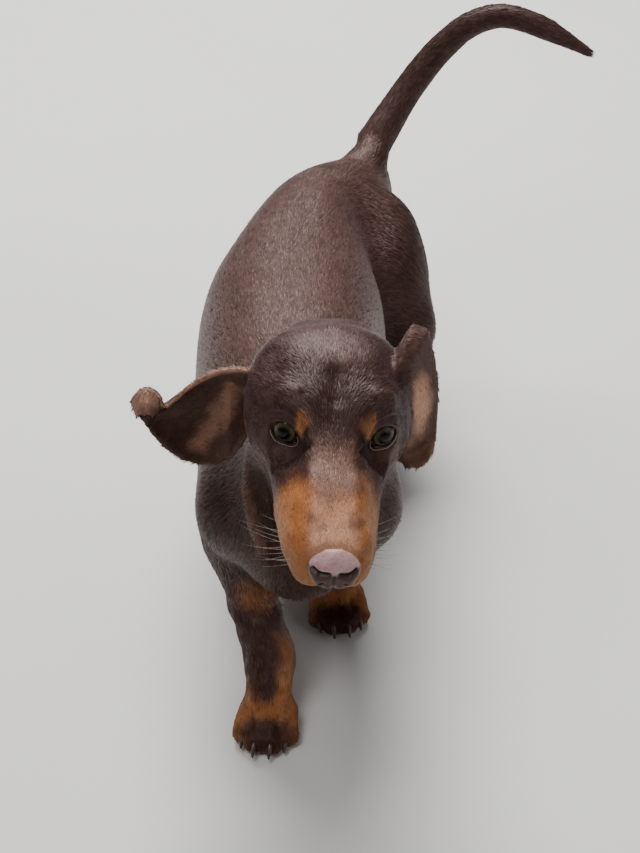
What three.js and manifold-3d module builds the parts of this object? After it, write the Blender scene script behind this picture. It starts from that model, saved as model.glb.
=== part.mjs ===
// A standard smooth-haired dachshund at life size, in the stride of a slow walk: right forefoot and
// left hind foot forward, head lowered a little, ears flung out and the tail carried in a high curve.
// Millimetres, +Z up. The dog faces -Y, so +X is its left side. The origin is on the floor, under the
// middle of the animal's bounding box.
import * as THREE from 'three';
import { LoftGeometry } from 'three/addons/geometries/LoftGeometry.js';
import { mergeVertices } from 'three/addons/utils/BufferGeometryUtils.js';
import Module from 'manifold-3d';

const wasm = await Module();
wasm.setup();

const v = ( x, y, z ) => new THREE.Vector3( x, y, z );
const { degToRad, lerp, clamp } = THREE.MathUtils;

// Driving dimensions

const GAP = 0.3; // between pieces that touch
const TRUNK_CELL = 17.5; // size of the facets, for each region of the body
const NECK_CELL = 15;
const THIGH_CELL = 13; // the thighs and the rump
const LEG_CELL = 8.8;
const PAW_CELL = 6.9;
const HEAD_CELL = 7.3;
const JAW_CELL = 8.5;
const NOSE_CELL = 4;

const FLOOR_CENTRE = v( 53, 225.5, 0 ); // the origin, in the frame that the dog is laid out in
const EYES = v( 8, 0, 290 ); // midway between the two eyeballs
const HEAD_PITCH = 12; // nose down, in degrees
const HEAD_YAW = 0.6; // nose towards the dog's left
const HEAD_ROLL = 4; // left eye lower than the right

const EYE_RADIUS = 10.5;
const EYE_PLACE = v( 26.5, - 2, 1.5 ); // left eyeball, in the head's frame
const EYE_OUTWARD = 21; // direction that the eye opening faces, in degrees
const EYE_UPWARD = 14;
const LID_RADIUS = 1.6;
const LID_THICKNESS = 1.8;
const LID_WIDTH = 15.5;
const LID_HEIGHT = 12.5;

// Fields. A field is a function of a point, and gives about the distance to a form's surface in
// millimetres, below zero inside it. Each form below is a pair: how softly it blends, and its field.

function blend( a, b, softness ) {

	const h = Math.max( softness - Math.abs( a - b ), 0 ) / softness;
	return Math.min( a, b ) - h * h * softness / 4;

}

const carve = ( a, b, softness ) => - blend( - a, b, softness );

function united( forms ) {

	return p => forms.reduce( ( d, [ softness, field ] ) => blend( d, field( p ), softness ), 1e3 );

}

// An ellipsoid, turned about +Z and then tilted about its own X, in degrees.
function ball( centre, radii, turn = 0, tilt = 0 ) {

	const back = new THREE.Quaternion().setFromEuler(
		new THREE.Euler( degToRad( tilt ), 0, degToRad( turn ), 'ZXY' ) ).invert();
	const d = v();
	return p => {

		d.copy( p ).sub( centre ).applyQuaternion( back );
		const near = Math.hypot( d.x / radii.x, d.y / radii.y, d.z / radii.z );
		const steep = Math.hypot( d.x / radii.x ** 2, d.y / radii.y ** 2, d.z / radii.z ** 2 );
		return steep < 1e-9 ? - Math.min( radii.x, radii.y, radii.z ) : near * ( near - 1 ) / steep;

	};

}

// A limb that runs straight from one joint to the next and tapers between their radii.
function bone( from, to, fromRadius, toRadius ) {

	const axis = to.clone().sub( from );
	const d = v();
	return p => {

		const t = clamp( d.copy( p ).sub( from ).dot( axis ) / axis.lengthSq(), 0, 1 );
		return d.addScaledVector( axis, - t ).length() - lerp( fromRadius, toRadius, t );

	};

}

// A long form along Y, with rounded ends. Each station names its cross section: the centre line's x,
// the half width, the top, the bottom, and the height where it is widest.
const SECTION = [ 'x', 'half', 'top', 'bottom', 'widest' ];

function hull( stations, frontCap, backCap ) {

	const CORNER = 2.25; // 2 is an ellipse, more is squarer
	const tracks = SECTION.map( key => new THREE.CubicInterpolant(
		stations.map( s => s.y ), stations.map( s => s[ key ] ), 1, new Float64Array( 1 ) ) );
	const first = stations[ 0 ].y;
	const last = stations[ stations.length - 1 ].y;
	return p => {

		const y = clamp( p.y, first, last );
		const [ x, half, top, bottom, widest ] = tracks.map( track => track.evaluate( y )[ 0 ] );
		const rise = p.z > widest ? top - widest : widest - bottom;
		const cap = p.y < first ? frontCap : backCap;
		const end = Math.abs( p.y - y ) / cap;
		const across = Math.abs( p.x - x ) / half;
		const up = Math.abs( p.z - widest ) / rise;
		const near = Math.hypot( ( across ** CORNER + up ** CORNER ) ** ( 1 / CORNER ), end );
		const steep = Math.hypot( across / half, up / rise, end / cap );
		return near < 1e-6 ? - Math.min( half, rise ) : ( near - 1 ) * near / steep;

	};

}

const pair = make => [ make( 1 ), make( - 1 ) ]; // of a form on the left side and its mirror image

// Solids

function solidOf( geometry ) {

	const plain = new THREE.BufferGeometry();
	plain.setAttribute( 'position', geometry.getAttribute( 'position' ) );
	plain.setIndex( geometry.index );
	const merged = mergeVertices( plain, 1e-4 );
	const corners = merged.index.array;
	const triVerts = [];
	for ( let i = 0; i < corners.length; i += 3 ) {

		const [ a, b, c ] = corners.slice( i, i + 3 );
		if ( a !== b && b !== c && c !== a ) triVerts.push( a, b, c );

	}

	return new wasm.Manifold( new wasm.Mesh( {
		numProp: 3,
		vertProperties: merged.attributes.position.array,
		triVerts: new Uint32Array( triVerts ),
	} ) );

}

function geometryOf( solid ) {

	const { vertProperties, triVerts } = solid.getMesh();
	const geometry = new THREE.BufferGeometry();
	geometry.setAttribute( 'position', new THREE.BufferAttribute( new Float32Array( vertProperties ), 3 ) );
	geometry.setIndex( new THREE.BufferAttribute( new Uint32Array( triVerts ), 1 ) );
	geometry.computeVertexNormals();
	return geometry;

}

// A closed form through a row of rings, each of which winds the same way.
function loft( rings, capped = true ) {

	const centre = ring => ring.reduce( ( sum, p ) => sum.addScaledVector( p, 1 / ring.length ), v() );
	const half = Math.ceil( rings.length / 2 ) - 1;
	const ring = rings[ half ];
	const onward = centre( rings[ half + 1 ] ).sub( centre( ring ) );
	const next = i => ring[ ( i + 1 ) % ring.length ];
	const winding = ring.reduce( ( sum, p, i ) => sum.add( v().crossVectors( p, next( i ) ) ), v() );
	const ordered = winding.dot( onward ) > 0 ? rings : rings.map( ring => [ ...ring ].reverse() );
	return solidOf( new LoftGeometry( ordered, { capStart: capped, capEnd: capped } ) );

}

const largest = solid => solid.decompose().sort( ( a, b ) => b.volume() - a.volume() )[ 0 ];

// The closed surface where a field is zero, inside a box of space. The surface is cut by the edges
// of a grid. Where it passes through a cell it gets one vertex, moved onto the surface, and each cut
// edge gets a face between the vertices of the four cells around it.
const AXES = [ v( 1, 0, 0 ), v( 0, 1, 0 ), v( 0, 0, 1 ) ];

function skinOf( field, box, cell ) {

	const counts = box.getSize( v() ).divideScalar( cell ).ceil().addScalar( 1 ).toArray();
	const steps = [ 1, counts[ 0 ], counts[ 0 ] * counts[ 1 ] ];
	const number = counts[ 0 ] * counts[ 1 ] * counts[ 2 ];
	const ijk = n => [ n, Math.floor( n / steps[ 1 ] ), Math.floor( n / steps[ 2 ] ) ]
		.map( ( i, axis ) => i % counts[ axis ] );
	const at = n => v( ...ijk( n ) ).multiplyScalar( cell ).add( box.min );
	const onRim = n => ijk( n ).some( ( i, axis ) => i === 0 || i === counts[ axis ] - 1 );
	const values = Float32Array.from( { length: number }, ( _, n ) => onRim( n ) ? cell : field( at( n ) ) );

	const positions = [];
	const vertexOf = new Int32Array( 12 * number );
	for ( let n = 0; n < number; n ++ ) {

		if ( ijk( n ).some( ( i, axis ) => i === counts[ axis ] - 1 ) ) continue;
		for ( const sheet of sheetsInCell( values, n, steps ) ) {

			const low = at( n );
			const middle = v();
			sheet.forEach( cut => middle.addScaledVector( cut.place, 1 / sheet.length ) );
			const point = ontoSurface( field, middle.multiplyScalar( cell ).add( low ), low, cell );
			sheet.forEach( cut => vertexOf[ 12 * n + cut.edge ] = positions.length / 3 );
			positions.push( ...point.toArray() );

		}

	}

	const place = n => v().fromArray( positions, 3 * n );
	const index = [];
	for ( let n = 0; n < number; n ++ ) {

		for ( let axis = 0; axis < 3; axis ++ ) {

			const fromInside = values[ n ] < 0;
			const last = ijk( n )[ axis ] === counts[ axis ] - 1;
			if ( last || fromInside === values[ n + steps[ axis ] ] < 0 ) continue;
			const s = steps[ ( axis + 1 ) % 3 ];
			const t = steps[ ( axis + 2 ) % 3 ];
			const around = [ [ 1, 1 ], [ 0, 1 ], [ 0, 0 ], [ 1, 0 ] ];
			const quad = around.map( ( [ i, j ] ) => vertexOf[ 12 * ( n - i * s - j * t ) + 4 * axis + i + 2 * j ] );
			if ( ! fromInside ) quad.reverse();
			const [ q0, q1, q2, q3 ] = quad;
			const short = place( q0 ).distanceTo( place( q2 ) ) < place( q1 ).distanceTo( place( q3 ) );
			index.push( ...( short ? [ q0, q1, q2, q0, q2, q3 ] : [ q1, q2, q3, q1, q3, q0 ] ) );

		}

	}

	const geometry = new THREE.BufferGeometry();
	geometry.setAttribute( 'position', new THREE.Float32BufferAttribute( positions, 3 ) );
	geometry.setIndex( index );
	return solidOf( geometry );

}

// The cell's edges that the surface cuts, grouped by the sheet of surface that cuts them. On each
// side of the cell a sheet joins the two cut edges that meet at a corner inside the form, or the
// only two cut edges. Edge 4 a + i + 2 j runs along axis a, from corner i, j of the two other axes.
function sheetsInCell( values, here, steps ) {

	const inside = corner => values[ here + steps.reduce( ( sum, step, axis ) =>
		sum + ( corner >> axis & 1 ) * step, 0 ) ];
	const cuts = [];
	for ( let edge = 0; edge < 12; edge ++ ) {

		const axis = edge >> 2;
		const [ b, c ] = [ ( axis + 1 ) % 3, ( axis + 2 ) % 3 ];
		const from = ( edge & 1 ) << b | ( edge >> 1 & 1 ) << c;
		const to = from | 1 << axis;
		const [ v0, v1 ] = [ inside( from ), inside( to ) ];
		if ( v0 < 0 === v1 < 0 ) continue;
		const place = v( from & 1, from >> 1 & 1, from >> 2 & 1 );
		place.addScaledVector( AXES[ axis ], v0 / ( v0 - v1 ) );
		cuts.push( { edge, place, corners: [ from, to ], within: v0 < 0 ? from : to, sheet: cuts.length } );

	}

	for ( let side = 0; side < 6; side ++ ) {

		const isOnSide = corner => ( corner >> ( side >> 1 ) & 1 ) === ( side & 1 );
		const onSide = cuts.filter( cut => cut.corners.every( isOnSide ) );
		for ( const one of onSide ) for ( const other of onSide ) {

			if ( onSide.length === 4 && one.within !== other.within ) continue;
			const [ keep, drop ] = [ one.sheet, other.sheet ];
			cuts.forEach( cut => cut.sheet = cut.sheet === drop ? keep : cut.sheet );

		}

	}

	const sheets = [ ...new Set( cuts.map( cut => cut.sheet ) ) ];
	return sheets.map( sheet => cuts.filter( cut => cut.sheet === sheet ) );

}

// The point moved down the field's slope onto the surface, staying in its cell.
function ontoSurface( field, point, low, cell ) {

	const margin = 0.04 * cell;
	const probe = 0.05 * cell;
	const least = low.clone().addScalar( margin );
	const most = low.clone().addScalar( cell - margin );
	for ( let step = 0; step < 3; step ++ ) {

		const d = field( point );
		const rise = axis => ( field( point.clone().addScaledVector( axis, probe ) ) - d ) / probe;
		const slope = v( ...AXES.map( rise ) );
		point.addScaledVector( slope, - d / Math.max( slope.lengthSq(), 0.2 ) ).clamp( least, most );

	}

	return point;

}

// A block of space to cut with: its centre, its size and how it is turned.
function block( centre, size, turn = [ 0, 0, 0 ] ) {

	const rotation = new THREE.Quaternion().setFromEuler( new THREE.Euler( ...turn.map( degToRad ), 'ZXY' ) );
	const make = grow => solidOf( new THREE.BoxGeometry( size.x + grow, size.y + grow, size.z + grow )
		.applyMatrix4( new THREE.Matrix4().compose( centre, rotation, v( 1, 1, 1 ) ) ) );
	return { inside: make( 0 ), around: make( 2 * GAP ) };

}

// A block that starts at a point and reaches on in a direction.
function blockOnward( start, direction, width, length ) {

	const onward = direction.clone().normalize();
	const rotation = new THREE.Quaternion().setFromUnitVectors( v( 0, 0, 1 ), onward );
	const turn = new THREE.Euler().setFromQuaternion( rotation, 'ZXY' );
	return block( start.clone().addScaledVector( onward, length / 2 ), v( width, width, length ),
		[ turn.x, turn.y, turn.z ].map( THREE.MathUtils.radToDeg ) );

}

// Head, in its own frame: the origin is midway between the eyes, and -Y runs along the muzzle

const headFrame = new THREE.Matrix4().compose( EYES,
	new THREE.Quaternion().setFromEuler( new THREE.Euler(
		degToRad( HEAD_PITCH ), degToRad( HEAD_ROLL ), degToRad( HEAD_YAW ), 'ZXY' ) ),
	v( 1, 1, 1 ) );
const intoHead = headFrame.clone().invert();
const inHead = field => world => field( world.clone().applyMatrix4( intoHead ) );

const skullForms = united( [
	[ 1, hull( [
		{ y: - 88, x: - 1, half: 22, top: 0, bottom: - 36, widest: - 20 },
		{ y: - 78, x: - 2, half: 26, top: 3, bottom: - 37, widest: - 22 },
		{ y: - 58, x: - 2.5, half: 28.5, top: 8, bottom: - 38, widest: - 22 },
		{ y: - 34, x: - 2.5, half: 32, top: 11, bottom: - 40, widest: - 20 },
		{ y: - 14, x: - 2, half: 37, top: 17, bottom: - 50, widest: - 14 },
		{ y: 8, x: - 2, half: 46, top: 25, bottom: - 53, widest: - 10 },
		{ y: 32, x: - 2.5, half: 49.5, top: 30, bottom: - 53, widest: - 8 },
		{ y: 56, x: - 2, half: 45, top: 26, bottom: - 48, widest: - 8 },
		{ y: 74, x: 0, half: 33, top: 14, bottom: - 40, widest: - 8 },
	], 10, 12 ) ],
	...pair( s => [ 12, ball( v( 20 * s, 2, 14 ), v( 13, 13, 8 ), 20 * s ) ] ), // brows
	...pair( s => [ 12, ball( v( 35 * s, 24, - 27 ), v( 13, 24, 22 ), - 12 * s ) ] ), // cheeks
	...pair( s => [ 6, bone( v( 12.5 * s - 1.5, - 86, - 29 ), v( 22.5 * s - 2.5, - 42, - 31 ), 8.5, 8.5 ) ] ), // upper lips
] );

// The muzzle is narrow above and wide at the lips, with a hollow in front of each eye.
const hollows = pair( s => ball( v( 34 * s, - 36, 11 ), v( 13, 29, 16 ), 4 * s ) );
const orbits = pair( s => ball( v( EYE_PLACE.x * s, EYE_PLACE.y, EYE_PLACE.z ), v( 13, 13, 13 ) ) );
const skull = inHead( p => {

	const hollowed = hollows.reduce( ( d, hollow ) => carve( d, hollow( p ), 9 ), skullForms( p ) );
	return orbits.reduce( ( d, orbit ) => blend( d, orbit( p ), 4 ), hollowed );

} );

const jaw = inHead( hull( [
	{ y: - 79, x: - 2, half: 14, top: - 30, bottom: - 46, widest: - 37 },
	{ y: - 62, x: - 2.5, half: 20, top: - 30, bottom: - 49, widest: - 38 },
	{ y: - 38, x: - 2.5, half: 25, top: - 30, bottom: - 52, widest: - 39 },
	{ y: - 12, x: - 2, half: 27.5, top: - 30, bottom: - 54, widest: - 40 },
	{ y: 12, x: 0, half: 24, top: - 30, bottom: - 52, widest: - 40 },
], 9, 9 ) );

const noseLeather = inHead( united( [
	[ 1, ball( v( 0, - 94, - 13 ), v( 14, 11.5, 11.5 ) ) ], // bridge
	...pair( s => [ 4, ball( v( 8.5 * s, - 96, - 17 ), v( 7, 9, 8 ) ) ] ), // wings
	[ 4, bone( v( 0, - 99, - 19 ), v( 0, - 95, - 31 ), 5.5, 3.5 ) ], // the middle, down to the lip
] ) );

// Trunk

const trunk = hull( [
	{ y: 68, x: - 12, half: 42, top: 200, bottom: 112, widest: 152 },
	{ y: 95, x: - 15, half: 57, top: 222, bottom: 90, widest: 155 },
	{ y: 140, x: - 18, half: 65, top: 238, bottom: 80, widest: 160 },
	{ y: 200, x: - 20, half: 69, top: 241, bottom: 78, widest: 162 },
	{ y: 260, x: - 21, half: 71, top: 239, bottom: 82, widest: 164 },
	{ y: 320, x: - 20, half: 68, top: 237, bottom: 92, widest: 168 },
	{ y: 365, x: - 17, half: 57, top: 237, bottom: 104, widest: 172 },
	{ y: 405, x: - 11, half: 48, top: 236, bottom: 114, widest: 175 },
	{ y: 445, x: 3, half: 46, top: 231, bottom: 122, widest: 178 },
	{ y: 480, x: 20, half: 41, top: 221, bottom: 132, widest: 178 },
	{ y: 500, x: 30, half: 31, top: 210, bottom: 144, widest: 178 },
], 20, 14 );

// Legs: the place of each joint, from the body down

const LEGS = {
	right_fore: {
		side: - 1, toeOut: - 8,
		shoulder: v( - 56, 94, 156 ), elbow: v( - 60, 116, 112 ), wrist: v( - 35, 72, 44 ), paw: v( - 35, 52, 0 ),
	},
	left_fore: {
		side: 1, toeOut: 6,
		shoulder: v( 28, 98, 156 ), elbow: v( 32, 160, 110 ), wrist: v( 16, 192, 46 ), paw: v( 12, 176, 0 ),
	},
	left_hind: {
		side: 1, toeOut: 10,
		hip: v( 44, 436, 182 ), stifle: v( 70, 376, 122 ), hock: v( 56, 438, 66 ), paw: v( 58, 410, 0 ),
	},
	right_hind: {
		side: - 1, toeOut: - 4,
		hip: v( - 14, 462, 172 ), stifle: v( - 36, 434, 116 ), hock: v( - 30, 506, 70 ), paw: v( - 32, 486, 0 ),
	},
};

function foreLegForms( leg ) {

	const bladeTop = v( leg.shoulder.x - 22 * leg.side, leg.shoulder.y + 52, 218 );
	return [
		[ 16, bone( bladeTop, leg.shoulder, 20, 25 ) ], // shoulder blade
		[ 16, bone( leg.shoulder, leg.elbow, 26, 22 ) ], // upper arm
		[ 18, ball( leg.elbow.clone().add( v( 0, 16, 26 ) ), v( 20, 32, 38 ), 0, 20 ) ], // triceps
		[ 10, bone( leg.elbow, leg.wrist, 20, 16.5 ) ], // forearm
		...pawForms( leg, leg.wrist, 16.5 ),
	];

}

function hindLegForms( leg ) {

	const thigh = leg.hip.clone().lerp( leg.stifle, 0.5 );
	const pastern = leg.paw.clone().add( v( 0, 8, 26 ) );
	return [
		[ 20, ball( thigh, v( 29, 44, 56 ), 0, - 35 ) ],
		[ 16, bone( leg.hip, leg.stifle, 31, 22 ) ],
		[ 14, bone( leg.stifle, leg.hock, 22, 12 ) ], // shank
		[ 8, bone( leg.hock, pastern, 12.5, 13 ) ],
		...pawForms( leg, pastern, 13 ),
	];

}

// Toes, from the outer to the inner: how far to the paw's inner side, how far ahead, and the radius
const TOES = [
	{ name: 'outer', inward: - 15, ahead: 20, radius: 8.6 },
	{ name: 'outer_middle', inward: - 5.6, ahead: 28, radius: 9.4 },
	{ name: 'inner_middle', inward: 5.6, ahead: 28, radius: 9.4 },
	{ name: 'inner', inward: 15, ahead: 20, radius: 8.6 },
];

function pawPoint( leg, inward, ahead, z ) {

	const turn = degToRad( leg.toeOut );
	const across = - leg.side * inward;
	return v( leg.paw.x + across * Math.cos( turn ) + ahead * Math.sin( turn ),
		leg.paw.y + across * Math.sin( turn ) - ahead * Math.cos( turn ), z );

}

function pawForms( leg, ankle, ankleRadius ) {

	return [
		[ 8, bone( ankle, pawPoint( leg, 0, 4, 20 ), ankleRadius, 16.5 ) ],
		[ 6, ball( pawPoint( leg, 0, 2, 11 ), v( 18, 22, 12 ), leg.toeOut ) ], // heel pad
		...TOES.map( toe => [ 3, bone( pawPoint( leg, toe.inward * 0.8, 4, 17 ),
			pawPoint( leg, toe.inward, toe.ahead, toe.radius - 0.6 ), toe.radius, toe.radius ) ] ),
	];

}

// A curved claw, leaving the toe's front and turning down. The same form a little larger is its bed.
function claw( leg, toe, grow = 0 ) {

	const LENGTH = 12;
	const RINGS = 4;
	const SIDES = 6;
	const ring = i => {

		const t = i / ( RINGS - 1 );
		const radius = 3.7 * Math.sqrt( 1 - 0.9 * t ) + grow;
		const ahead = toe.ahead + toe.radius * 0.35 + LENGTH * 0.9 * t;
		const height = toe.radius + 2.4 - LENGTH * ( 0.2 * t + 0.33 * t * t );
		return [ ...Array( SIDES ).keys() ].map( j => {

			const a = 2 * Math.PI * j / SIDES;
			const inward = toe.inward + 0.75 * radius * Math.cos( a );
			return pawPoint( leg, inward, ahead, height + radius * Math.sin( a ) );

		} );

	};

	return loft( [ ...Array( RINGS ).keys() ].map( ring ) );

}

// Neck and tail

const neckForms = [
	[ 26, bone( v( - 13, 112, 180 ), v( 5, 58, 264 ), 52, 43 ) ],
	[ 20, bone( v( - 16, 140, 200 ), v( 6, 74, 268 ), 34, 34 ) ], // crest
	[ 14, ball( v( - 14, 72, 138 ), v( 32, 24, 42 ) ) ], // breastbone
];

const TAIL = new THREE.CatmullRomCurve3( [
	v( 28, 486, 194 ), v( 40, 506, 212 ), v( 58, 524, 237 ), v( 78, 535, 265 ), v( 99, 540, 291 ),
	v( 122, 538, 313 ), v( 146, 533, 323 ), v( 171, 526, 320 ), v( 195, 519, 311 ), v( 218, 512, 300 ),
] );
const TAIL_LEAVES_RUMP = 0.13; // as a share of the tail's length
const TAIL_LENGTHS = [ 'tail_base', 'tail_lower', 'tail_upper', 'tail_tip' ];

// The tail's radius at shares of its length
const TAIL_SHARES = [ 0, TAIL_LEAVES_RUMP, 0.3, 0.85, 1 ];
const TAIL_RADII = [ 18, 15.5, 12.6, 9, 3 ];
const tailTrack = new THREE.LinearInterpolant( TAIL_SHARES, TAIL_RADII, 1, new Float64Array( 1 ) );
const tailRadius = t => tailTrack.evaluate( t )[ 0 ];

// The tail's root, a little thinner than the tail's first length where it runs on inside it
const tailRoot = bone( TAIL.getPointAt( 0 ), TAIL.getPointAt( 0.2 ), tailRadius( 0 ), tailRadius( 0.2 ) - 0.5 );

const dog = united( [
	[ 1, trunk ],
	...neckForms,
	...foreLegForms( LEGS.right_fore ),
	...foreLegForms( LEGS.left_fore ),
	...hindLegForms( LEGS.left_hind ),
	...hindLegForms( LEGS.right_hind ),
	[ 12, tailRoot ],
	[ 14, skull ],
] );

// A round bar swept along the tail's curve, between two shares of its length.
function tailLength( from, to ) {

	const SIDES = 12;
	const RINGS = 7;
	const up = v( 0, - 1, 0 );
	const rings = [ ...Array( RINGS ).keys() ].map( i => {

		const t = lerp( from, to, i / ( RINGS - 1 ) );
		const along = TAIL.getTangentAt( t );
		const side = v().crossVectors( up, along ).normalize();
		const top = v().crossVectors( along, side );
		return [ ...Array( SIDES ).keys() ].map( j => {

			const a = 2 * Math.PI * j / SIDES;
			return TAIL.getPointAt( t ).addScaledVector( side, tailRadius( t ) * Math.cos( a ) )
				.addScaledVector( top, tailRadius( t ) * Math.sin( a ) );

		} );

	} );
	return loft( rings );

}

// Ears: from the root to the tip, each station has the front edge, the back edge, how far the flap
// bulges between them and its thickness

const EARS = {
	ear_right: [
		{ front: v( - 38, 36, 306 ), back: v( - 38, 46, 266 ), bulge: v( 0, 4, 0 ), thick: 5 },
		{ front: v( - 60, 42, 302 ), back: v( - 60, 50, 227 ), bulge: v( 0, 22, 0 ), thick: 4.4 },
		{ front: v( - 78, 38, 294 ), back: v( - 84, 44, 232 ), bulge: v( 0, 20, 0 ), thick: 4 },
		{ front: v( - 93, 26, 286 ), back: v( - 104, 30, 265 ), bulge: v( - 3, 12, - 3 ), thick: 3.6 },
		{ front: v( - 95, 12, 301 ), back: v( - 113, 15, 298 ), bulge: v( 0, 0, 8 ), thick: 3.4 },
		{ front: v( - 96, 1, 295 ), back: v( - 109, 3, 293 ), bulge: v( 0, - 5, 4 ), thick: 3 },
	],
	ear_left: [
		{ front: v( 40, 22, 302 ), back: v( 42, 58, 290 ), bulge: v( 0, 0, 2 ), thick: 5 },
		{ front: v( 50, 30, 315 ), back: v( 61, 57, 327 ), bulge: v( 0, 1, 3 ), thick: 4.4 },
		{ front: v( 51, 24, 287 ), back: v( 72, 49, 292 ), bulge: v( 5, 7, 0 ), thick: 4 },
		{ front: v( 50, 20, 262 ), back: v( 72, 42, 262 ), bulge: v( 5, 8, 0 ), thick: 3.6 },
		{ front: v( 50, 22, 251 ), back: v( 71, 37, 252 ), bulge: v( 2, 7, - 5 ), thick: 3.4 },
		{ front: v( 51, 14, 250 ), back: v( 68, 23, 250 ), bulge: v( 1, 0, - 5 ), thick: 3 },
	],
};

function ear( stations ) {

	const ACROSS = 8; // points on each face
	const ALONG = 13;
	const track = make => new THREE.CatmullRomCurve3( stations.map( make ) );
	const front = track( s => s.front );
	const back = track( s => s.back );
	const bulge = track( s => s.bulge );
	const thick = track( s => v( s.thick, 0, 0 ) );
	const middle = ( t, w ) => front.getPoint( t ).lerp( back.getPoint( t ), w )
		.addScaledVector( bulge.getPoint( t ), 4 * w * ( 1 - w ) );
	const rings = [ ...Array( ALONG ).keys() ].map( i => {

		const t = i / ( ALONG - 1 );
		const closes = t === 0 || t === 1; // both faces meet in one edge
		const faces = [ - 1, 1 ].map( face => [ ...Array( ACROSS ).keys() ].map( j => {

			const w = j / ( ACROSS - 1 );
			const h = 0.01;
			const along = middle( Math.min( t + h, 1 ), w ).sub( middle( Math.max( t - h, 0 ), w ) );
			const across = middle( t, Math.min( w + h, 1 ) ).sub( middle( t, Math.max( w - h, 0 ) ) );
			const normal = v().crossVectors( along, across ).normalize();
			const thin = closes ? 0 : Math.sqrt( Math.max( 1 - ( 2 * w - 1 ) ** 4, 0.3 ) );
			return middle( t, w ).addScaledVector( normal, face * thin * thick.getPoint( t ).x / 2 );

		} ) );
		return [ ...faces[ 0 ], ...faces[ 1 ].reverse() ];

	} );
	return loft( rings, false );

}

// Eyes: the lids' edge is an almond on a ball just outside the eyeball

const eyeCentre = side => v( EYE_PLACE.x * side, EYE_PLACE.y, EYE_PLACE.z ).applyMatrix4( headFrame );

function lidEdge( side, share = 1 ) {

	const POINTS = 16;
	const turned = new THREE.Matrix4().makeRotationFromEuler(
		new THREE.Euler( degToRad( - EYE_UPWARD ), 0, degToRad( EYE_OUTWARD * side ), 'ZXY' ) );
	const facing = new THREE.Matrix4().extractRotation( headFrame ).multiply( turned );
	return [ ...Array( POINTS ).keys() ].map( i => {

		const a = 2 * Math.PI * i / POINTS;
		const across = share * LID_WIDTH / 2 * Math.cos( a );
		const up = share * LID_HEIGHT / 2 * Math.sin( a );
		return v( across * side, - Math.sqrt( EYE_RADIUS ** 2 - across ** 2 ), up )
			.setLength( EYE_RADIUS + LID_RADIUS ).applyMatrix4( facing );

	} );

}

function eyeball( radius, side ) {

	const centre = eyeCentre( side );
	return solidOf( new THREE.IcosahedronGeometry( radius, 3 ).translate( ...centre.toArray() ) );

}

function lidRim( side ) {

	const centre = eyeCentre( side );
	const curve = new THREE.CatmullRomCurve3( lidEdge( side ).map( p => p.add( centre ) ), true );
	return solidOf( new THREE.TubeGeometry( curve, 20, LID_RADIUS, 5, true ) );

}

function eyeOpening( side ) {

	const centre = eyeCentre( side );
	const ringAt = scale => lidEdge( side, 0.9 ).map( p => p.multiplyScalar( scale ).add( centre ) );
	return loft( [ 0.4, 1.7 ].map( ringAt ) );

}

// A nostril: a slot that slants up and outward, with its deep end towards the middle.
function nostril( side ) {

	const opening = new THREE.IcosahedronGeometry( 1, 1 ).scale( 3.6, 6, 2 );
	opening.applyMatrix4( new THREE.Matrix4().makeRotationFromEuler(
		new THREE.Euler( degToRad( - 12 ), degToRad( 24 * side ), degToRad( - 20 * side ), 'ZXY' ) ) );
	return solidOf( opening.translate( 8 * side, - 105, - 18 ).applyMatrix4( headFrame ) );

}

// Blocks that part the body into nodes, from the ground up, by these heights and places along Y
const WRIST = 30;
const ELBOW = 76;
const PASTERN = 25;
const HOCK = 66;
const STIFLE = 104;
const CHEST_END = 255;
const RUMP_START = 385;

function column( leg, low, high, ahead = 65, behind = 85 ) {

	return block( v( leg.paw.x, leg.paw.y + ( behind - ahead ) / 2, ( low + high ) / 2 ),
		v( 130, ahead + behind, high - low ) );

}

// Each node of flesh: its name, the size of its facets, and the block of space that it fills
const DEEP = 260; // a block's size where it reaches right through the body
const parts = [];
for ( const side of [ 'right', 'left' ] ) {

	const fore = LEGS[ side + '_fore' ];
	const hind = LEGS[ side + '_hind' ];
	const knee = hind.stifle;
	const outward = hind.side;
	parts.push( [ 'forepaw_' + side, PAW_CELL, column( fore, 0, WRIST ) ] );
	parts.push( [ 'forearm_' + side, LEG_CELL, column( fore, WRIST, ELBOW ) ] );
	parts.push( [ 'hindpaw_' + side, PAW_CELL, column( hind, 0, PASTERN, 45, 60 ) ] );
	parts.push( [ 'hock_' + side, LEG_CELL, column( hind, PASTERN, HOCK, 45, 60 ) ] );
	parts.push( [ 'shank_' + side, LEG_CELL, block(
		v( knee.x + 30 * outward, knee.y + 30, ( HOCK + STIFLE ) / 2 ), v( 130, 150, STIFLE - HOCK ) ) ] );
	const thighCentre = v( knee.x + 22 * outward, knee.y + 28, STIFLE + 48 );
	parts.push( [ 'thigh_' + side, THIGH_CELL,
		block( thighCentre, v( 80, 150, 96 ), [ 0, - 14 * outward, 6 * outward ] ) ] );

}

parts.push( [ 'head', HEAD_CELL, block( v( 5, 14, 349 ), v( DEEP, 320, 200 ), [ 30, 0, 0 ] ) ] );
parts.push( [ 'neck', NECK_CELL, block( v( - 12, 14, 244 ), v( DEEP, 200, 400 ), [ - 37, 0, 0 ] ) ] );
for ( const [ name, cell, front, back ] of [
	[ 'chest', TRUNK_CELL, - 145, CHEST_END ],
	[ 'loin', TRUNK_CELL, CHEST_END, RUMP_START ],
	[ 'rump', THIGH_CELL, RUMP_START, 585 ],
] ) parts.push( [ name, cell, block( v( 0, ( front + back ) / 2, 160 ), v( DEEP, back - front, 240 ) ) ] );

const root = new THREE.Group();
root.position.copy( FLOOR_CENTRE ).negate();

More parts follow.
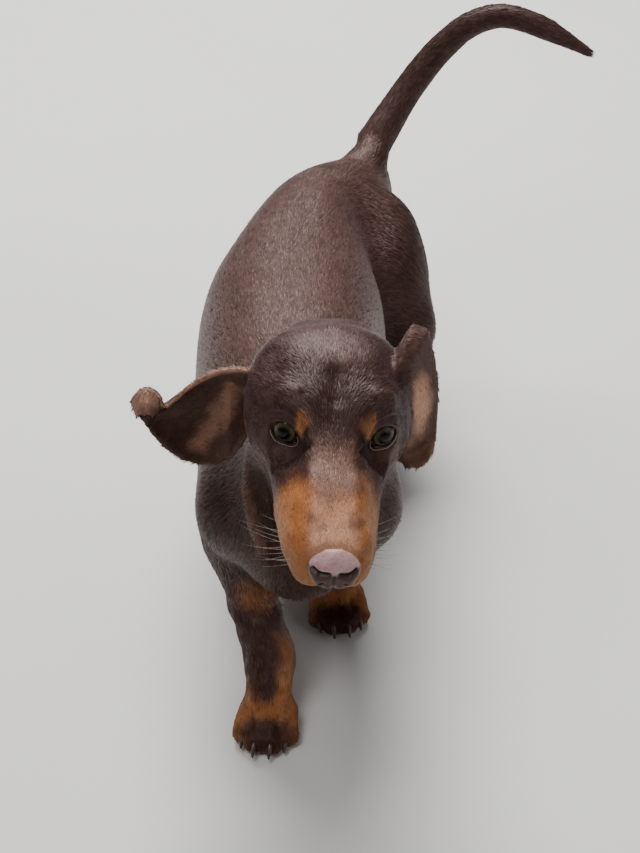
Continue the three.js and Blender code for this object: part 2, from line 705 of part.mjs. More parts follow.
const LOOKS = {
	brown: new THREE.MeshStandardMaterial( { color: '#4a3330', roughness: 0.6 } ),
	tan: new THREE.MeshStandardMaterial( { color: '#9a5a34', roughness: 0.65 } ),
	nose: new THREE.MeshStandardMaterial( { color: '#a8757a', roughness: 0.4 } ),
	eye: new THREE.MeshStandardMaterial( { color: '#6b6234', roughness: 0.1 } ),
	claw: new THREE.MeshStandardMaterial( { color: '#3a2a26', roughness: 0.4 } ),
};

function add( name, solid, look = 'brown' ) {

	const mesh = new THREE.Mesh( geometryOf( largest( solid ) ), LOOKS[ look ].clone() );
	mesh.name = name;
	root.add( mesh );

}

const bodies = new Map();
const tailStart = TAIL.getPointAt( TAIL_LEAVES_RUMP );
const tailBlock = blockOnward( tailStart, TAIL.getTangentAt( TAIL_LEAVES_RUMP ), 70, 90 );
const taken = [ tailBlock.around ];
const box = ( solid, margin ) => {

	const { min, max } = solid.boundingBox();
	return new THREE.Box3( v( ...min ), v( ...max ) ).expandByScalar( margin );

};

const WHOLE = new THREE.Box3( v( - 130, - 130, - 14 ), v( 150, 600, 420 ) ); // all the flesh
for ( const [ name, cell, { inside, around } ] of parts ) {

	const region = box( inside, cell ).intersect( WHOLE.clone().expandByScalar( cell ) );
	let solid = skinOf( dog, region, cell ).intersect( inside );
	for ( const other of taken ) solid = solid.subtract( other );
	taken.push( around );
	bodies.set( name, largest( solid ) );

}

// The head with its lids, the eyeballs in their sockets, and what sits on the head
const headBox = box( parts.find( ( [ name ] ) => name === 'head' )[ 2 ].inside, HEAD_CELL )
	.intersect( WHOLE.clone().expandByScalar( HEAD_CELL ) );
const aroundHead = skinOf( p => dog( p ) - 2 * GAP, headBox, HEAD_CELL );
let headSolid = bodies.get( 'head' );
for ( const side of [ 1, - 1 ] ) {

	headSolid = headSolid.add( eyeball( EYE_RADIUS + LID_THICKNESS, side ) ).add( lidRim( side ) )
		.subtract( eyeOpening( side ) ).subtract( eyeball( EYE_RADIUS + GAP, side ) );
	add( side > 0 ? 'eye_left' : 'eye_right', eyeball( EYE_RADIUS, side ), 'eye' );

}

bodies.set( 'head', headSolid );
const lowerJaw = skinOf( jaw, headBox, JAW_CELL ).subtract( aroundHead ).subtract( headSolid );
add( 'lower_jaw', lowerJaw, 'tan' );
const noseBox = new THREE.Box3( v( - 20, - 130, 220 ), v( 36, - 60, 300 ) );
const nose = [ 1, - 1 ].reduce( ( solid, side ) => solid.subtract( nostril( side ) ),
	skinOf( noseLeather, noseBox, NOSE_CELL ) );
add( 'nose', nose.subtract( aroundHead ).subtract( headSolid ), 'nose' );
for ( const [ legName, leg ] of Object.entries( LEGS ) ) {

	const [ side, end ] = legName.split( '_' );
	const paw = ( end === 'fore' ? 'forepaw_' : 'hindpaw_' ) + side;
	for ( const toe of TOES ) {

		bodies.set( paw, bodies.get( paw ).subtract( claw( leg, toe, GAP ) ) );
		add( paw + '_claw_' + toe.name, claw( leg, toe ), 'claw' );

	}

}

for ( const [ name, solid ] of bodies ) add( name, solid, name.includes( 'paw' ) ? 'tan' : 'brown' );
for ( const [ name, stations ] of Object.entries( EARS ) ) add( name, ear( stations ).subtract( aroundHead ) );
TAIL_LENGTHS.forEach( ( name, i ) => {

	const share = ( 1 - TAIL_LEAVES_RUMP ) / TAIL_LENGTHS.length;
	const from = TAIL_LEAVES_RUMP + i * share;
	const gap = GAP / TAIL.getLength();
	add( name, tailLength( from + gap, from + share ) );

} );

export default root;
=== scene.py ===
# %% [markdown]
# A dachshund, life size
#
# The part is a smooth-haired dachshund in chocolate and tan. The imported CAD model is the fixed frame:
# it says where every form of the body is. This script gives that body its skin, its short coat, its
# eyes, nose leather, claws and whiskers, then lights it and places the camera where the
# photographer stood. Everything is in metres, +Z is up, and the dog faces -Y.

import math

import bmesh
import bpy
import numpy as np
from mathutils import Matrix, Vector, kdtree
from mathutils import noise as solid_noise


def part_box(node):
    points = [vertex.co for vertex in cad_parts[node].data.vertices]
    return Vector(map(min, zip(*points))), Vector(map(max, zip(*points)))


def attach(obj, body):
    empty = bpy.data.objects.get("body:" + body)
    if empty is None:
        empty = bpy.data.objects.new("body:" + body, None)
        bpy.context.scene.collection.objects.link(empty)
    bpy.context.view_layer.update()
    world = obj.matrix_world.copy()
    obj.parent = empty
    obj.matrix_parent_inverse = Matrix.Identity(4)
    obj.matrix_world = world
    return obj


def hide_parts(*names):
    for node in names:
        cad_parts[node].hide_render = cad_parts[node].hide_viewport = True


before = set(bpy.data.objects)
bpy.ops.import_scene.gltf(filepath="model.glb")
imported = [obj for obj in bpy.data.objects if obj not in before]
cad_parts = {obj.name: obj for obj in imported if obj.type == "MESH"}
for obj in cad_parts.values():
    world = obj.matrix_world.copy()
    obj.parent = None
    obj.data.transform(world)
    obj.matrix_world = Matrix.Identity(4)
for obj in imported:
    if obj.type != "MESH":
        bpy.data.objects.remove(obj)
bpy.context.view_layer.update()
rng = np.random.default_rng(7)

# %% [markdown]
# Frames of reference
#
# A sculptor measures a head from the head, not from the room. So the script keeps two frames: the one
# that the whole dog was laid out in, with the eyes near x = 8 mm, and the head's own, with its origin
# between the eyes and -Y along the muzzle. Both are written in millimetres, as a ruler reads.

# %% Layout and head frames
MM = 0.001
FLOOR_CENTRE = np.array([53.0, 225.5, 0.0])
EYES = np.array([8.0, 0.0, 290.0])
HEAD_YAW, HEAD_PITCH, HEAD_ROLL = 0.6, 12.0, 4.0


def turned(yaw, pitch, roll=0.0):
    """The rotation that rolls about Y, then pitches about X, then yaws about Z, in degrees."""
    steps = [(yaw, "Z"), (pitch, "X"), (roll, "Y")]
    made = Matrix.Identity(3)
    for degrees, axis in steps:
        made = made @ Matrix.Rotation(math.radians(degrees), 3, axis)
    return np.array(made)


head_turn = turned(HEAD_YAW, HEAD_PITCH, HEAD_ROLL)


def from_layout(points):
    """Millimetres in the layout frame to metres in the part's frame."""
    return (np.asarray(points, float) - FLOOR_CENTRE) * MM


def to_layout(points):
    return np.asarray(points, float) / MM + FLOOR_CENTRE


def head_to_layout(points):
    return np.asarray(points, float) @ head_turn.T + EYES


def from_head(points):
    """Millimetres in the head's frame to metres in the part's frame."""
    return from_layout(head_to_layout(points))


def to_head(points):
    return (to_layout(points) - EYES) @ head_turn


def smoothstep(low, high, value):
    """0 below low, 1 above high, and an S-shaped ramp between; low may be the larger."""
    t = np.clip((value - low) / (high - low), 0, 1)
    return t * t * (3 - 2 * t)


def spot(points, centre, radii):
    """1 in the middle of an ellipsoid, fading to 0 just past its surface."""
    near = np.linalg.norm((points - np.array(centre)) / np.array(radii), axis=1)
    return smoothstep(1.25, 0.55, near)


def segment_distance(points, a, b):
    """How far each point is from the straight line from a to b, and how far along it, 0 to 1."""
    along = b - a
    t = np.clip((points - a) @ along / (along @ along), 0, 1)
    return np.linalg.norm(points - a - t[:, None] * along, axis=1), t


def path_distance(points, path):
    """The distance of each point to a path of straight lengths, and how far along it that is, 0 to 1."""
    path = np.asarray(path, float)
    best = np.full(len(points), 1e9)
    share = np.zeros(len(points))
    for i, (a, b) in enumerate(zip(path[:-1], path[1:])):
        distance, t = segment_distance(points, a, b)
        nearer = distance < best
        best[nearer] = distance[nearer]
        share[nearer] = ((i + t) / (len(path) - 1))[nearer]
    return best, share


def cloud(points, size, seed=0.0):
    """Smooth noise from about -1 to 1, with blobs of the given size, at points in the same unit."""
    shift = Vector((seed * 3.1, seed * 1.7, seed * 2.3))
    return np.array([solid_noise.noise(Vector(p) + shift) for p in points / size]) * 1.6


print("between the eyes", from_layout(EYES).round(4))

# %% [markdown]
# The camera
#
# The photographer stood and looked down at the dog, so the head is near and large, and the feet and
# the back are foreshortened. A perspective camera set from the same height repeats that.

# %% Camera
PICTURE_HEIGHT = 853  # pixels
FOCAL_PIXELS = 1930
SENSOR_HEIGHT = 36  # mm
CAMERA_PLACE = (0, -940, 948)
LOOKING_DOWN = 35  # degrees


def in_scene(name, data):
    """A new object at the origin that holds this data."""
    made = bpy.data.objects.new(name, data)
    bpy.context.scene.collection.objects.link(made)
    return made


camera_data = bpy.data.cameras.new("camera")
camera_data.sensor_fit = "VERTICAL"
camera_data.sensor_height = SENSOR_HEIGHT
camera_data.lens = SENSOR_HEIGHT * FOCAL_PIXELS / PICTURE_HEIGHT
camera_data.clip_start = 0.05
camera = in_scene("camera", camera_data)
camera.location = from_layout(CAMERA_PLACE)
camera.rotation_euler = (math.radians(90 - LOOKING_DOWN), 0, 0)
bpy.context.scene.camera = camera
print("lens", round(camera_data.lens, 1), "mm")

# %% [markdown]
# One skin from many nodes
#
# On the animal the hide runs over the whole body without a seam. The CAD model is parted into nodes
# with thin gaps. Each node of flesh is copied and grown by half a millimetre so that the gaps close,
# and a voxel remesh then melts the copies into one closed surface. Joining them with booleans would
# keep every seam as an edge. The remesh also forgets the facets' own edges, so that smoothing can
# round them.

# %% Join the flesh
SKIN_VOXEL = 1.6 * MM
GROW = 0.5 * MM
EYE_RADIUS = 10.5  # mm, as in the CAD
LID_THICKNESS = 1.8
EYE_PLACE = np.array([26.5, -2.0, 1.5])  # of the left eye, in the head's frame
SIDES = {"left": 1, "right": -1}
both = tuple(SIDES.values())

flesh_nodes = sorted(
    name
    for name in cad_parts
    if not name.startswith(("eye_", "nose")) and "_claw_" not in name
)


def eye_centre(side):
    return from_head(EYE_PLACE * [side, 1, 1])


def mesh_copy(nodes, grow=0.0):
    """A bmesh of the named CAD nodes, with their loose triangles merged and each grown a little."""
    joined = bmesh.new()
    for name in nodes:
        one = bmesh.new()
        one.from_mesh(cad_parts[name].data)
        bmesh.ops.remove_doubles(one, verts=one.verts, dist=1e-6)
        one.normal_update()
        for vertex in one.verts:
            vertex.co += vertex.normal * grow
        held = bpy.data.meshes.new("held")
        one.to_mesh(held)
        joined.from_mesh(held)
        one.free()
        bpy.data.meshes.remove(held)
    return joined


def new_object(name, bm):
    """A new object whose mesh is the bmesh."""
    mesh = bpy.data.meshes.new(name)
    bm.to_mesh(mesh)
    bm.free()
    return in_scene(name, mesh)


def apply_modifiers(piece):
    """Makes the modifiers' result the mesh itself."""
    graph = bpy.context.evaluated_depsgraph_get()
    mesh = bpy.data.meshes.new_from_object(piece.evaluated_get(graph))
    piece.modifiers.clear()
    piece.data = mesh


def voxel_remesh(piece, size):
    remesh = piece.modifiers.new("remesh", "REMESH")
    remesh.mode = "VOXEL"
    remesh.voxel_size = size
    apply_modifiers(piece)


flesh = mesh_copy(flesh_nodes, GROW)
for side in both:
    bmesh.ops.create_icosphere(
        flesh,
        subdivisions=4,
        radius=(EYE_RADIUS + LID_THICKNESS) * MM,
        matrix=Matrix.Translation(eye_centre(side)),
    )
skin = new_object("skin", flesh)
voxel_remesh(skin, SKIN_VOXEL)
print("skin", len(skin.data.vertices), "vertices after the remesh")

# %% [markdown]
# Which form a vertex belongs to
#
# Smoothing, sculpting and markings all need to know whether a spot is on an ear, a paw or the back.
# Each skin vertex takes the name of the CAD node whose surface is nearest to it.

# %% Label the skin
def node_samples():
    """Points on each CAD node of flesh: its vertices and the middles of its faces."""
    for number, name in enumerate(flesh_nodes):
        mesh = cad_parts[name].data
        for vertex in mesh.vertices:
            yield number, vertex.co
        for face in mesh.polygons:
            yield number, face.center


samples = list(node_samples())
sample_tree = kdtree.KDTree(len(samples))
for i, (_, place) in enumerate(samples):
    sample_tree.insert(place, i)
sample_tree.balance()


def labels_of(points):
    return np.array([samples[sample_tree.find(p)[1]][0] for p in points])


def on(labels, *starts):
    """1 where a label's node has a name that starts with one of these words."""
    chosen = [i for i, name in enumerate(flesh_nodes) if name.startswith(starts)]
    return np.isin(labels, chosen).astype(float)


def read(rows, field, width=3, kind=float):
    """One field of every vertex, edge or triangle, as an array with that many columns."""
    values = np.empty(len(rows) * width, kind)
    rows.foreach_get(field, values)
    return values.reshape(-1, width)


def read_points(mesh):
    return read(mesh.vertices, "co")


def read_normals(mesh):
    return read(mesh.vertices, "normal")


def read_edges(mesh):
    return read(mesh.edges, "vertices", 2, np.int64)


def write_points(mesh, points):
    mesh.vertices.foreach_set("co", np.asarray(points, float).ravel())
    mesh.update()


points = read_points(skin.data)
edges = read_edges(skin.data)
labels = labels_of(points)
print("vertices by node", {name: int((labels == i).sum()) for i, name in enumerate(flesh_nodes)})

# %% [markdown]
# Rounding the facets
#
# A living body has no facets, and the remesh still shows those of the solids and the steps of its own
# cells. Moving each vertex towards the mean of its neighbours rounds them. The trunk is smoothed most
# and the ears, which are thin, least.

# %% Smoothing
SMOOTHING_ROUNDS = 90
TAIL_BASE = (44, 500, 216)


def neighbour_mean(values, edges):
    count = len(values)
    degree = np.maximum(np.bincount(edges.ravel(), minlength=count), 1)
    columns = values.reshape(count, -1).T
    sums = [
        np.bincount(edges[:, 0], column[edges[:, 1]], count)
        + np.bincount(edges[:, 1], column[edges[:, 0]], count)
        for column in columns
    ]
    return (np.array(sums) / degree).T.reshape(values.shape)


def spread(values, edges, rounds):
    """Softens a mask by taking the mean with the neighbours again and again."""
    for _ in range(rounds):
        values = 0.5 * values + 0.5 * neighbour_mean(values, edges)
    return values


def relax(points, edges, rounds, weight, keep_volume=True):
    """Smooths a surface. Every second step grows it back, so that thin forms don't waste away."""
    steps = (0.5, -0.53) if keep_volume else (0.5,)
    for _ in range(rounds):
        for step in steps:
            points = points + step * weight[:, None] * (neighbour_mean(points, edges) - points)
    return points


trunk = spread(on(labels, "chest", "loin", "rump", "thigh", "neck"), edges, 6)
from_tail = np.linalg.norm(to_layout(points) - TAIL_BASE, axis=1)
trunk *= smoothstep(18, 52, from_tail)  # the slender root of the tail would waste away
ears = spread(on(labels, "ear_"), edges, 3)
smoothed = relax(points, edges, SMOOTHING_ROUNDS, trunk, keep_volume=False)
smoothed = relax(smoothed, edges, SMOOTHING_ROUNDS, 1 - 0.6 * ears)
print("smoothing moved the skin by up to", round(np.abs(smoothed - points).max() / MM, 1), "mm")
points = smoothed
write_points(skin.data, points)

# %% [markdown]
# Finer faces where the eye looks
#
# The face, the ears and the toes carry small forms that the remesh's faces can't hold. Their edges are
# cut in half, and the new surface is smoothed once more. The rest of the body stays coarse, because
# the coat covers it.

# %% Refine the face and the feet
def refine(mesh, wanted):
    """Splits every edge whose two ends are wanted."""
    bm = bmesh.new()
    bm.from_mesh(mesh)
    chosen = [e for e in bm.edges if wanted[e.verts[0].index] and wanted[e.verts[1].index]]
    bmesh.ops.subdivide_edges(bm, edges=chosen, cuts=1, use_grid_fill=True)
    bmesh.ops.triangulate(bm, faces=[f for f in bm.faces if len(f.verts) > 4])
    bm.to_mesh(mesh)
    bm.free()


in_head = to_head(points)
face = (on(labels, "head", "lower_jaw") > 0) & (in_head[:, 1] < 20) & (in_head[:, 2] > -75)
toes = on(labels, "forepaw", "hindpaw") > 0
refine(skin.data, face | toes)
points = read_points(skin.data)
edges = read_edges(skin.data)
labels = labels_of(points)
points = relax(points, edges, 10, np.ones(len(points)))
write_points(skin.data, points)
print("skin", len(points), "vertices,", len(skin.data.polygons), "faces after refining")

# %% [markdown]
# Sculpting in code
#
# A sculptor builds up and scrapes away along lines and at spots. Here a stroke is a path in the
# head's or the layout's frame with a width and a height, and all strokes together move each vertex
# along its normal. Each is named by what it forms on the dog.

# %% Strokes on the head
def stroke(points, path, width, height, fade=0.25):
    """How far a stroke lifts each point; it thins out over the given share of its ends."""
    distance, share = path_distance(points, path)
    ends = smoothstep(0, fade, share) * smoothstep(1, 1 - fade, share) if fade else 1
    return height * np.exp(-((distance / width) ** 2)) * ends


def lift_of(points, strokes, fade=0.25):
    """How far all the strokes together lift each point."""
    return sum(stroke(points, path, width, height, fade) for path, width, height in strokes)


def on_both_sides(strokes):
    """The strokes of the left side, and then their mirror images."""
    return [(np.asarray(path, float) * [side, 1, 1], *shape) for side in both for path, *shape in strokes]


# Paths in the head's frame for the left side: x outward, -y towards the nose, z up, in millimetres
MOUTH = [(6, -93, -37), (15, -84, -39), (22, -66, -38.5), (27, -46, -38), (30, -26, -38), (32, -10, -37)]
FACE_STROKES = [
    # path, width, height
    (MOUTH, 1.6, -2.6),  # the line of the mouth
    (np.array(MOUTH) + (0.8, 0, 4.0), 2.6, 0.9),  # edge of the upper lip
    ([(12, -92, -28), (24, -74, -27), (29, -56, -27)], 7, 0.8),  # whisker pad
    ([(16, 2, 24), (26, 6, 21), (34, 10, 14)], 4.5, 1.7),  # ridge of the brow
    ([(14, -4, 13), (11, -14, 8), (10, -26, 5)], 3.8, -1.6),  # from the inner corner down the muzzle
    ([(11, -84, 1), (12, -60, 6), (14, -36, 8)], 4.5, 1.3),  # upper edge of the muzzle
    ([(18, -78, -8), (22, -54, -7), (24, -34, -7)], 6, -1.5),  # flat of the muzzle's side
    ([(34, -16, -12), (40, -4, -14), (44, 12, -12)], 7, 1.7),  # cheekbone
    ([(30, -14, -24), (36, 0, -30), (40, 16, -34)], 6, -1.3),  # hollow under the cheekbone
    ([(34, 16, 20), (38, 30, 22), (36, 44, 18)], 9, -1.6),  # temple
]
MIDDLE_STROKES = [
    ([(0, -8, 18), (0, 8, 26), (0, 22, 30)], 6, -1.8),  # furrow between the brows
    ([(0, 48, 28), (0, 66, 20), (0, 78, 12)], 6, 1.0),  # crest at the back of the skull
    ([(0, -88, -34), (0, -86, -42)], 1.2, -1.2),  # parting of the upper lip
]

lift = lift_of(to_head(points), on_both_sides(FACE_STROKES) + MIDDLE_STROKES)
head_mask = spread(on(labels, "head", "lower_jaw"), edges, 4)
points = points + read_normals(skin.data) * (lift * head_mask * MM)[:, None]
write_points(skin.data, points)
print("strokes move the head by", round(lift.min(), 1), "to", round(lift.max(), 1), "mm")

# %% Strokes on the body
LEGS = [  # toe_out in degrees, the middle of the paw in the layout's frame
    dict(side=-1, toe_out=-8, paw=(-35, 52)),  # right foreleg
    dict(side=1, toe_out=6, paw=(12, 176)),  # left foreleg
    dict(side=1, toe_out=10, paw=(58, 410)),  # left hind leg
    dict(side=-1, toe_out=-4, paw=(-32, 486)),  # right hind leg
]
TOE_GAPS = (-10.3, 0, 10.3)  # mm to the paw's inner side
TOES = {-15.5: 17, -5.6: 24, 5.6: 24, 15.5: 17}  # mm to the inner side: mm that the knuckle is ahead


def paw_point(leg, inward, ahead, height):
    """A point of a paw, by how far it is to the paw's inner side and ahead of its middle."""
    turn = math.radians(leg["toe_out"])
    across = -leg["side"] * inward
    x = leg["paw"][0] + across * math.cos(turn) + ahead * math.sin(turn)
    y = leg["paw"][1] + across * math.sin(turn) - ahead * math.cos(turn)
    return np.array([x, y, height])


in_layout = to_layout(points)
lift = np.zeros(len(points))
for leg in LEGS:
    for gap in TOE_GAPS:
        groove = [
            paw_point(leg, gap * 0.6, 8, 27),
            paw_point(leg, gap * 0.9, 24, 17),
            paw_point(leg, gap, 36, 4),
        ]
        lift += stroke(in_layout, groove, 2.2, -2.6, fade=0.2)
    for inward, reach in TOES.items():
        knuckle = [paw_point(leg, inward * 0.9, reach - 6, 20), paw_point(leg, inward, reach + 6, 13)]
        lift += stroke(in_layout, knuckle, 4.5, 1.1, fade=0)
paw_mask = spread(on(labels, "forepaw", "hindpaw"), edges, 3)
THROAT_FOLD = [(-50, 62, 232), (-49, 61, 213), (-45, 58, 191), (-42, 54, 173), (-38, 51, 158)]
THROAT_HOLLOW = [(-40, 55, 224), (-38, 53, 206), (-35, 50, 184), (-31, 48, 164), (-28, 48, 148)]
TAIL_SET = [(30, 502, 222), (36, 493, 221), (46, 489, 219), (56, 497, 216), (60, 506, 212)]
BODY_STROKES = [
    # path, width, height
    ([(-19, 130, 240), (-20, 260, 241), (-8, 400, 238), (20, 470, 226)], 7, -0.9),  # along the spine
    ([(-84, 128, 112), (-80, 138, 132), (-70, 142, 150)], 5, -2.0),  # behind the right elbow
    ([(54, 176, 108), (50, 190, 130), (44, 196, 150)], 5, -2.0),  # behind the left elbow
    ([(40, 360, 190), (62, 352, 160), (70, 344, 130)], 8, -2.0),  # fold of the left flank
    ([(-74, 420, 190), (-64, 408, 160), (-48, 402, 130)], 8, -2.0),  # fold of the right flank
    ([(86, 392, 150), (80, 430, 140), (66, 462, 120)], 8, -1.2),  # between the thigh's muscles
    (TAIL_SET, 8, 3.2),
    ([(31, 508, 226), (40, 505, 230), (50, 505, 231)], 5, -1.4),  # top of the tail's first bone
    (THROAT_FOLD, 5, 3.4),
    (THROAT_HOLLOW, 6, -5.0),
]
lift = lift * paw_mask + lift_of(in_layout, BODY_STROKES)
points = points + read_normals(skin.data) * (lift * MM)[:, None]
points = relax(points, edges, 3, np.ones(len(points)))
tail_root = smoothstep(30, 12, np.linalg.norm(in_layout - TAIL_BASE, axis=1))
points = relax(points, edges, 25, tail_root, keep_volume=False)
write_points(skin.data, points)
print("strokes move the body by", round(lift.min(), 1), "to", round(lift.max(), 1), "mm")

# %% [markdown]
# The coat's depth
#
# The solids include the coat. So the skin sinks by the depth of hair: over a millimetre on the
# trunk, less on the legs and tail, and half a millimetre or less on the face and ears.

# %% Sink the skin
TRUNK_DEPTH = 1.3  # mm
DEPTHS = {  # mm, on nodes whose names start with these words
    ("head", "lower_jaw"): 0.5,
    ("ear_",): 0.35,
    ("fore", "hind", "hock", "shank", "tail"): 0.8,
}
depth = np.full(len(points), TRUNK_DEPTH)
for starts, deep in DEPTHS.items():
    depth = np.where(on(labels, *starts) > 0, deep, depth)
depth = spread(depth, edges, 8)
points = points - read_normals(skin.data) * (depth * MM)[:, None]
points[:, 2] = np.maximum(points[:, 2], 0.0)
write_points(skin.data, points)
print("skin sunk by", round(depth.min(), 2), "to", round(depth.max(), 2), "mm")

# %% [markdown]
# Eyelids
#
# A dog's eye is a ball nearly as wide as its socket, and only an almond of it shows. The lids are
# the skin itself, drawn over the ball. Seen along the line of sight the skin is a relief, so it can be
# worked as one: it may not stand lower than the ball, nor rise more steeply than a slope away from
# the opening. Then the almond is cut away, the cut edge is drawn onto one smooth curve and folded in
# towards the ball, so that the lid has a thickness. A boolean cut would leave a ragged edge.

# %% Almond of the eye
LID_WIDTH = 17.8  # mm, corner to corner
LID_HEIGHT = 15.0
EYE_OUTWARD, EYE_UPWARD = 21, 14  # degrees that the opening faces away from the muzzle, and up
LID_TILT = math.radians(14)  # how far the outer corner is turned up
LID_OVER_BALL = 1.1
LID_SLOPE = 1.05  # the steepest that skin rises from the lids
ROUNDNESS = 1.8  # of the almond: 2 is an ellipse, and less draws its corners out
SOCKET = 2.1  # how far out, in openings, the skin over the socket is drawn tight
SOCKET_ROUNDS = 220


def eye_axes(side):
    """The eye's axes as columns: outward, into the head, up."""
    return head_turn @ turned(EYE_OUTWARD * side, -EYE_UPWARD)


def in_eye(points, side):
    """Metres in the part's frame to millimetres in the eye's own, with x outward on both sides."""
    local = (points - eye_centre(side)) / MM @ eye_axes(side)
    local[:, 0] *= side
    return local


def out_of_eye(local, side):
    return local * [side, 1, 1] @ eye_axes(side).T * MM + eye_centre(side)


def almond(across, up):
    """Below 1 inside the opening. The inner corner, towards the muzzle, is drawn out and down."""
    across, up = (
        across * math.cos(LID_TILT) + up * math.sin(LID_TILT),
        up * math.cos(LID_TILT) - across * math.sin(LID_TILT),
    )
    inner = smoothstep(0, -1, across / (LID_WIDTH / 2))
    width = LID_WIDTH / 2 * (1 + 0.12 * inner)
    up = up + 1.6 * inner * inner
    half_height = LID_HEIGHT / 2 * np.where(up > 0, 1.0, 0.94)
    sum_of_powers = np.abs(across / width) ** ROUNDNESS + np.abs(up / half_height) ** ROUNDNESS
    return sum_of_powers ** (1 / ROUNDNESS)


def openness_of(local):
    """How far out of the opening each point lies, seen along the line of sight."""
    return np.where(local[:, 1] < 0, almond(local[:, 0], local[:, 2]), 9.0)


def soft_least(a, b, softness):
    h = np.maximum(softness - np.abs(a - b), 0) / softness
    return np.minimum(a, b) - h * h * softness / 4


def ball_height(local, radius):
    """How far a ball's surface stands out towards the viewer, at each point across it."""
    return np.sqrt(np.maximum(radius**2 - local[:, 0] ** 2 - local[:, 2] ** 2, 0))


def span_socket(points, side):
    """Draws the skin over the eye's socket tight, as a drum's skin, so that no wall of it is left."""
    local = in_eye(points, side)
    free = (openness_of(local) < SOCKET) & (np.linalg.norm(local, axis=1) < 27)
    kept = free[edges[:, 0]] | free[edges[:, 1]]
    near = np.unique(edges[kept])
    number = np.full(len(points), -1)
    number[near] = np.arange(len(near))
    weight = free[near].astype(float)
    patch = relax(points[near], number[edges[kept]], SOCKET_ROUNDS, weight, keep_volume=False)
    spanned = points.copy()
    spanned[near] = patch
    return spanned


points = read_points(skin.data)
lid_radius = EYE_RADIUS + LID_OVER_BALL
edge_height = math.sqrt(lid_radius**2 - (LID_HEIGHT / 2) ** 2)
for side in both:
    points = span_socket(points, side)
    local = in_eye(points, side)
    openness = openness_of(local)
    near = (openness < 4) & (np.linalg.norm(local, axis=1) < 32)
    least = ball_height(local, lid_radius)
    beyond = np.maximum(openness - 1, 0) * LID_HEIGHT / 2
    most = np.where(openness < 1, least, edge_height) + LID_SLOPE * beyond
    relief = soft_least(-local[:, 1], most, 2.5)
    relief = -soft_least(-relief, -least, 1.2)
    fold = 0.5 * np.exp(-(((openness - 1.22) / 0.16) ** 2))  # the rolled edge of the lids
    crease = -0.6 * np.exp(-(((openness - 1.6) / 0.13) ** 2)) * smoothstep(-2, 3, local[:, 2])
    local[:, 1] = -(relief + fold + crease)
    points = np.where(near[:, None], out_of_eye(local, side), points)
    print("lids drawn over", int(near.sum()), "vertices")
write_points(skin.data, points)

# %% Cut and fold the lids
FOLD_UNDER_BALL = 0.6  # mm that the folded edge ends inside the eyeball


def places_of(verts):
    return np.array([v.co for v in verts])


def put(verts, places):
    for vertex, place in zip(verts, places):
        vertex.co = place


bm = bmesh.new()
bm.from_mesh(skin.data)
for side in both:
    local = in_eye(places_of(bm.verts), side)
    inside = (openness_of(local) < 1.0) & (np.linalg.norm(local, axis=1) < EYE_RADIUS * 1.5)
    bmesh.ops.delete(bm, geom=[v for v, gone in zip(list(bm.verts), inside) if gone], context="VERTS")
    centre = Vector(eye_centre(side))
    reach = EYE_RADIUS * 2 * MM
    rim_edges = [e for e in bm.edges if e.is_boundary and (e.verts[0].co - centre).length < reach]
    rim = list({v for e in rim_edges for v in e.verts})
    for _ in range(3):
        local = in_eye(places_of(rim), side)
        local[:, [0, 2]] /= openness_of(local)[:, None]
        local[:, 1] = -ball_height(local, lid_radius)
        put(rim, out_of_eye(local, side))
    folded = bmesh.ops.extrude_edge_only(bm, edges=rim_edges)["geom"]
    inner = [g for g in folded if isinstance(g, bmesh.types.BMVert)]
    local = in_eye(places_of(inner), side)
    local *= (EYE_RADIUS - FOLD_UNDER_BALL) / np.linalg.norm(local, axis=1)[:, None]
    put(inner, out_of_eye(local, side))
    print("lid edge", len(rim), "vertices")
bm.normal_update()
bm.to_mesh(skin.data)
bm.free()

# %% [markdown]
# A lighter mesh
#
# The sculpting needed small faces everywhere, and the finished skin doesn't. A Decimate modifier
# removes faces where the surface is nearly flat, so the lids, the lips and the toes keep theirs.
# The faces come out the same each run, but in another order, and the tufts are drawn from that
# order. So vertices and triangles are sorted by place.

# %% Thin the mesh
SKIN_TRIANGLES = 190_000


def sort_by_place(mesh):
    points = read_points(mesh)
    mesh.calc_loop_triangles()
    corners = read(mesh.loop_triangles, "vertices", 3, np.int64)
    around = np.zeros(len(points))  # tells apart vertices that share one place
    np.add.at(around, corners, points[corners].sum(axis=(1, 2))[:, None])
    order = np.lexsort([around, *points.T])
    corners = np.argsort(order)[corners]
    first = corners.argmin(axis=1)[:, None]
    corners = np.take_along_axis(corners, (first + np.arange(3)) % 3, axis=1)
    corners = corners[np.lexsort(corners.T)]
    mesh.clear_geometry()
    mesh.from_pydata(points[order], [], corners)


skin.data.calc_loop_triangles()
thinning = skin.modifiers.new("thinning", "DECIMATE")
thinning.ratio = SKIN_TRIANGLES / len(skin.data.loop_triangles)
apply_modifiers(skin)
sort_by_place(skin.data)
skin.data.calc_loop_triangles()
print("skin thinned to", len(skin.data.loop_triangles), "triangles")

# %% [markdown]
# Which way the hair lies
#
# Hair lies from the nose back over the head, down the neck, back along the trunk, down the legs and
# out to the tips of the ears and tail. The bones of the body give those directions. Each spot of the
# skin takes the directions of the bones near it, weighted by how near they are, laid flat on the skin.

# %% Lie of the coat
def head_paths(*path, sides=(1,)):
    """A path given in the head's frame, and its mirror image where both sides are asked for."""
    return [head_to_layout(np.array(path) * [side, 1, 1]) for side in sides]


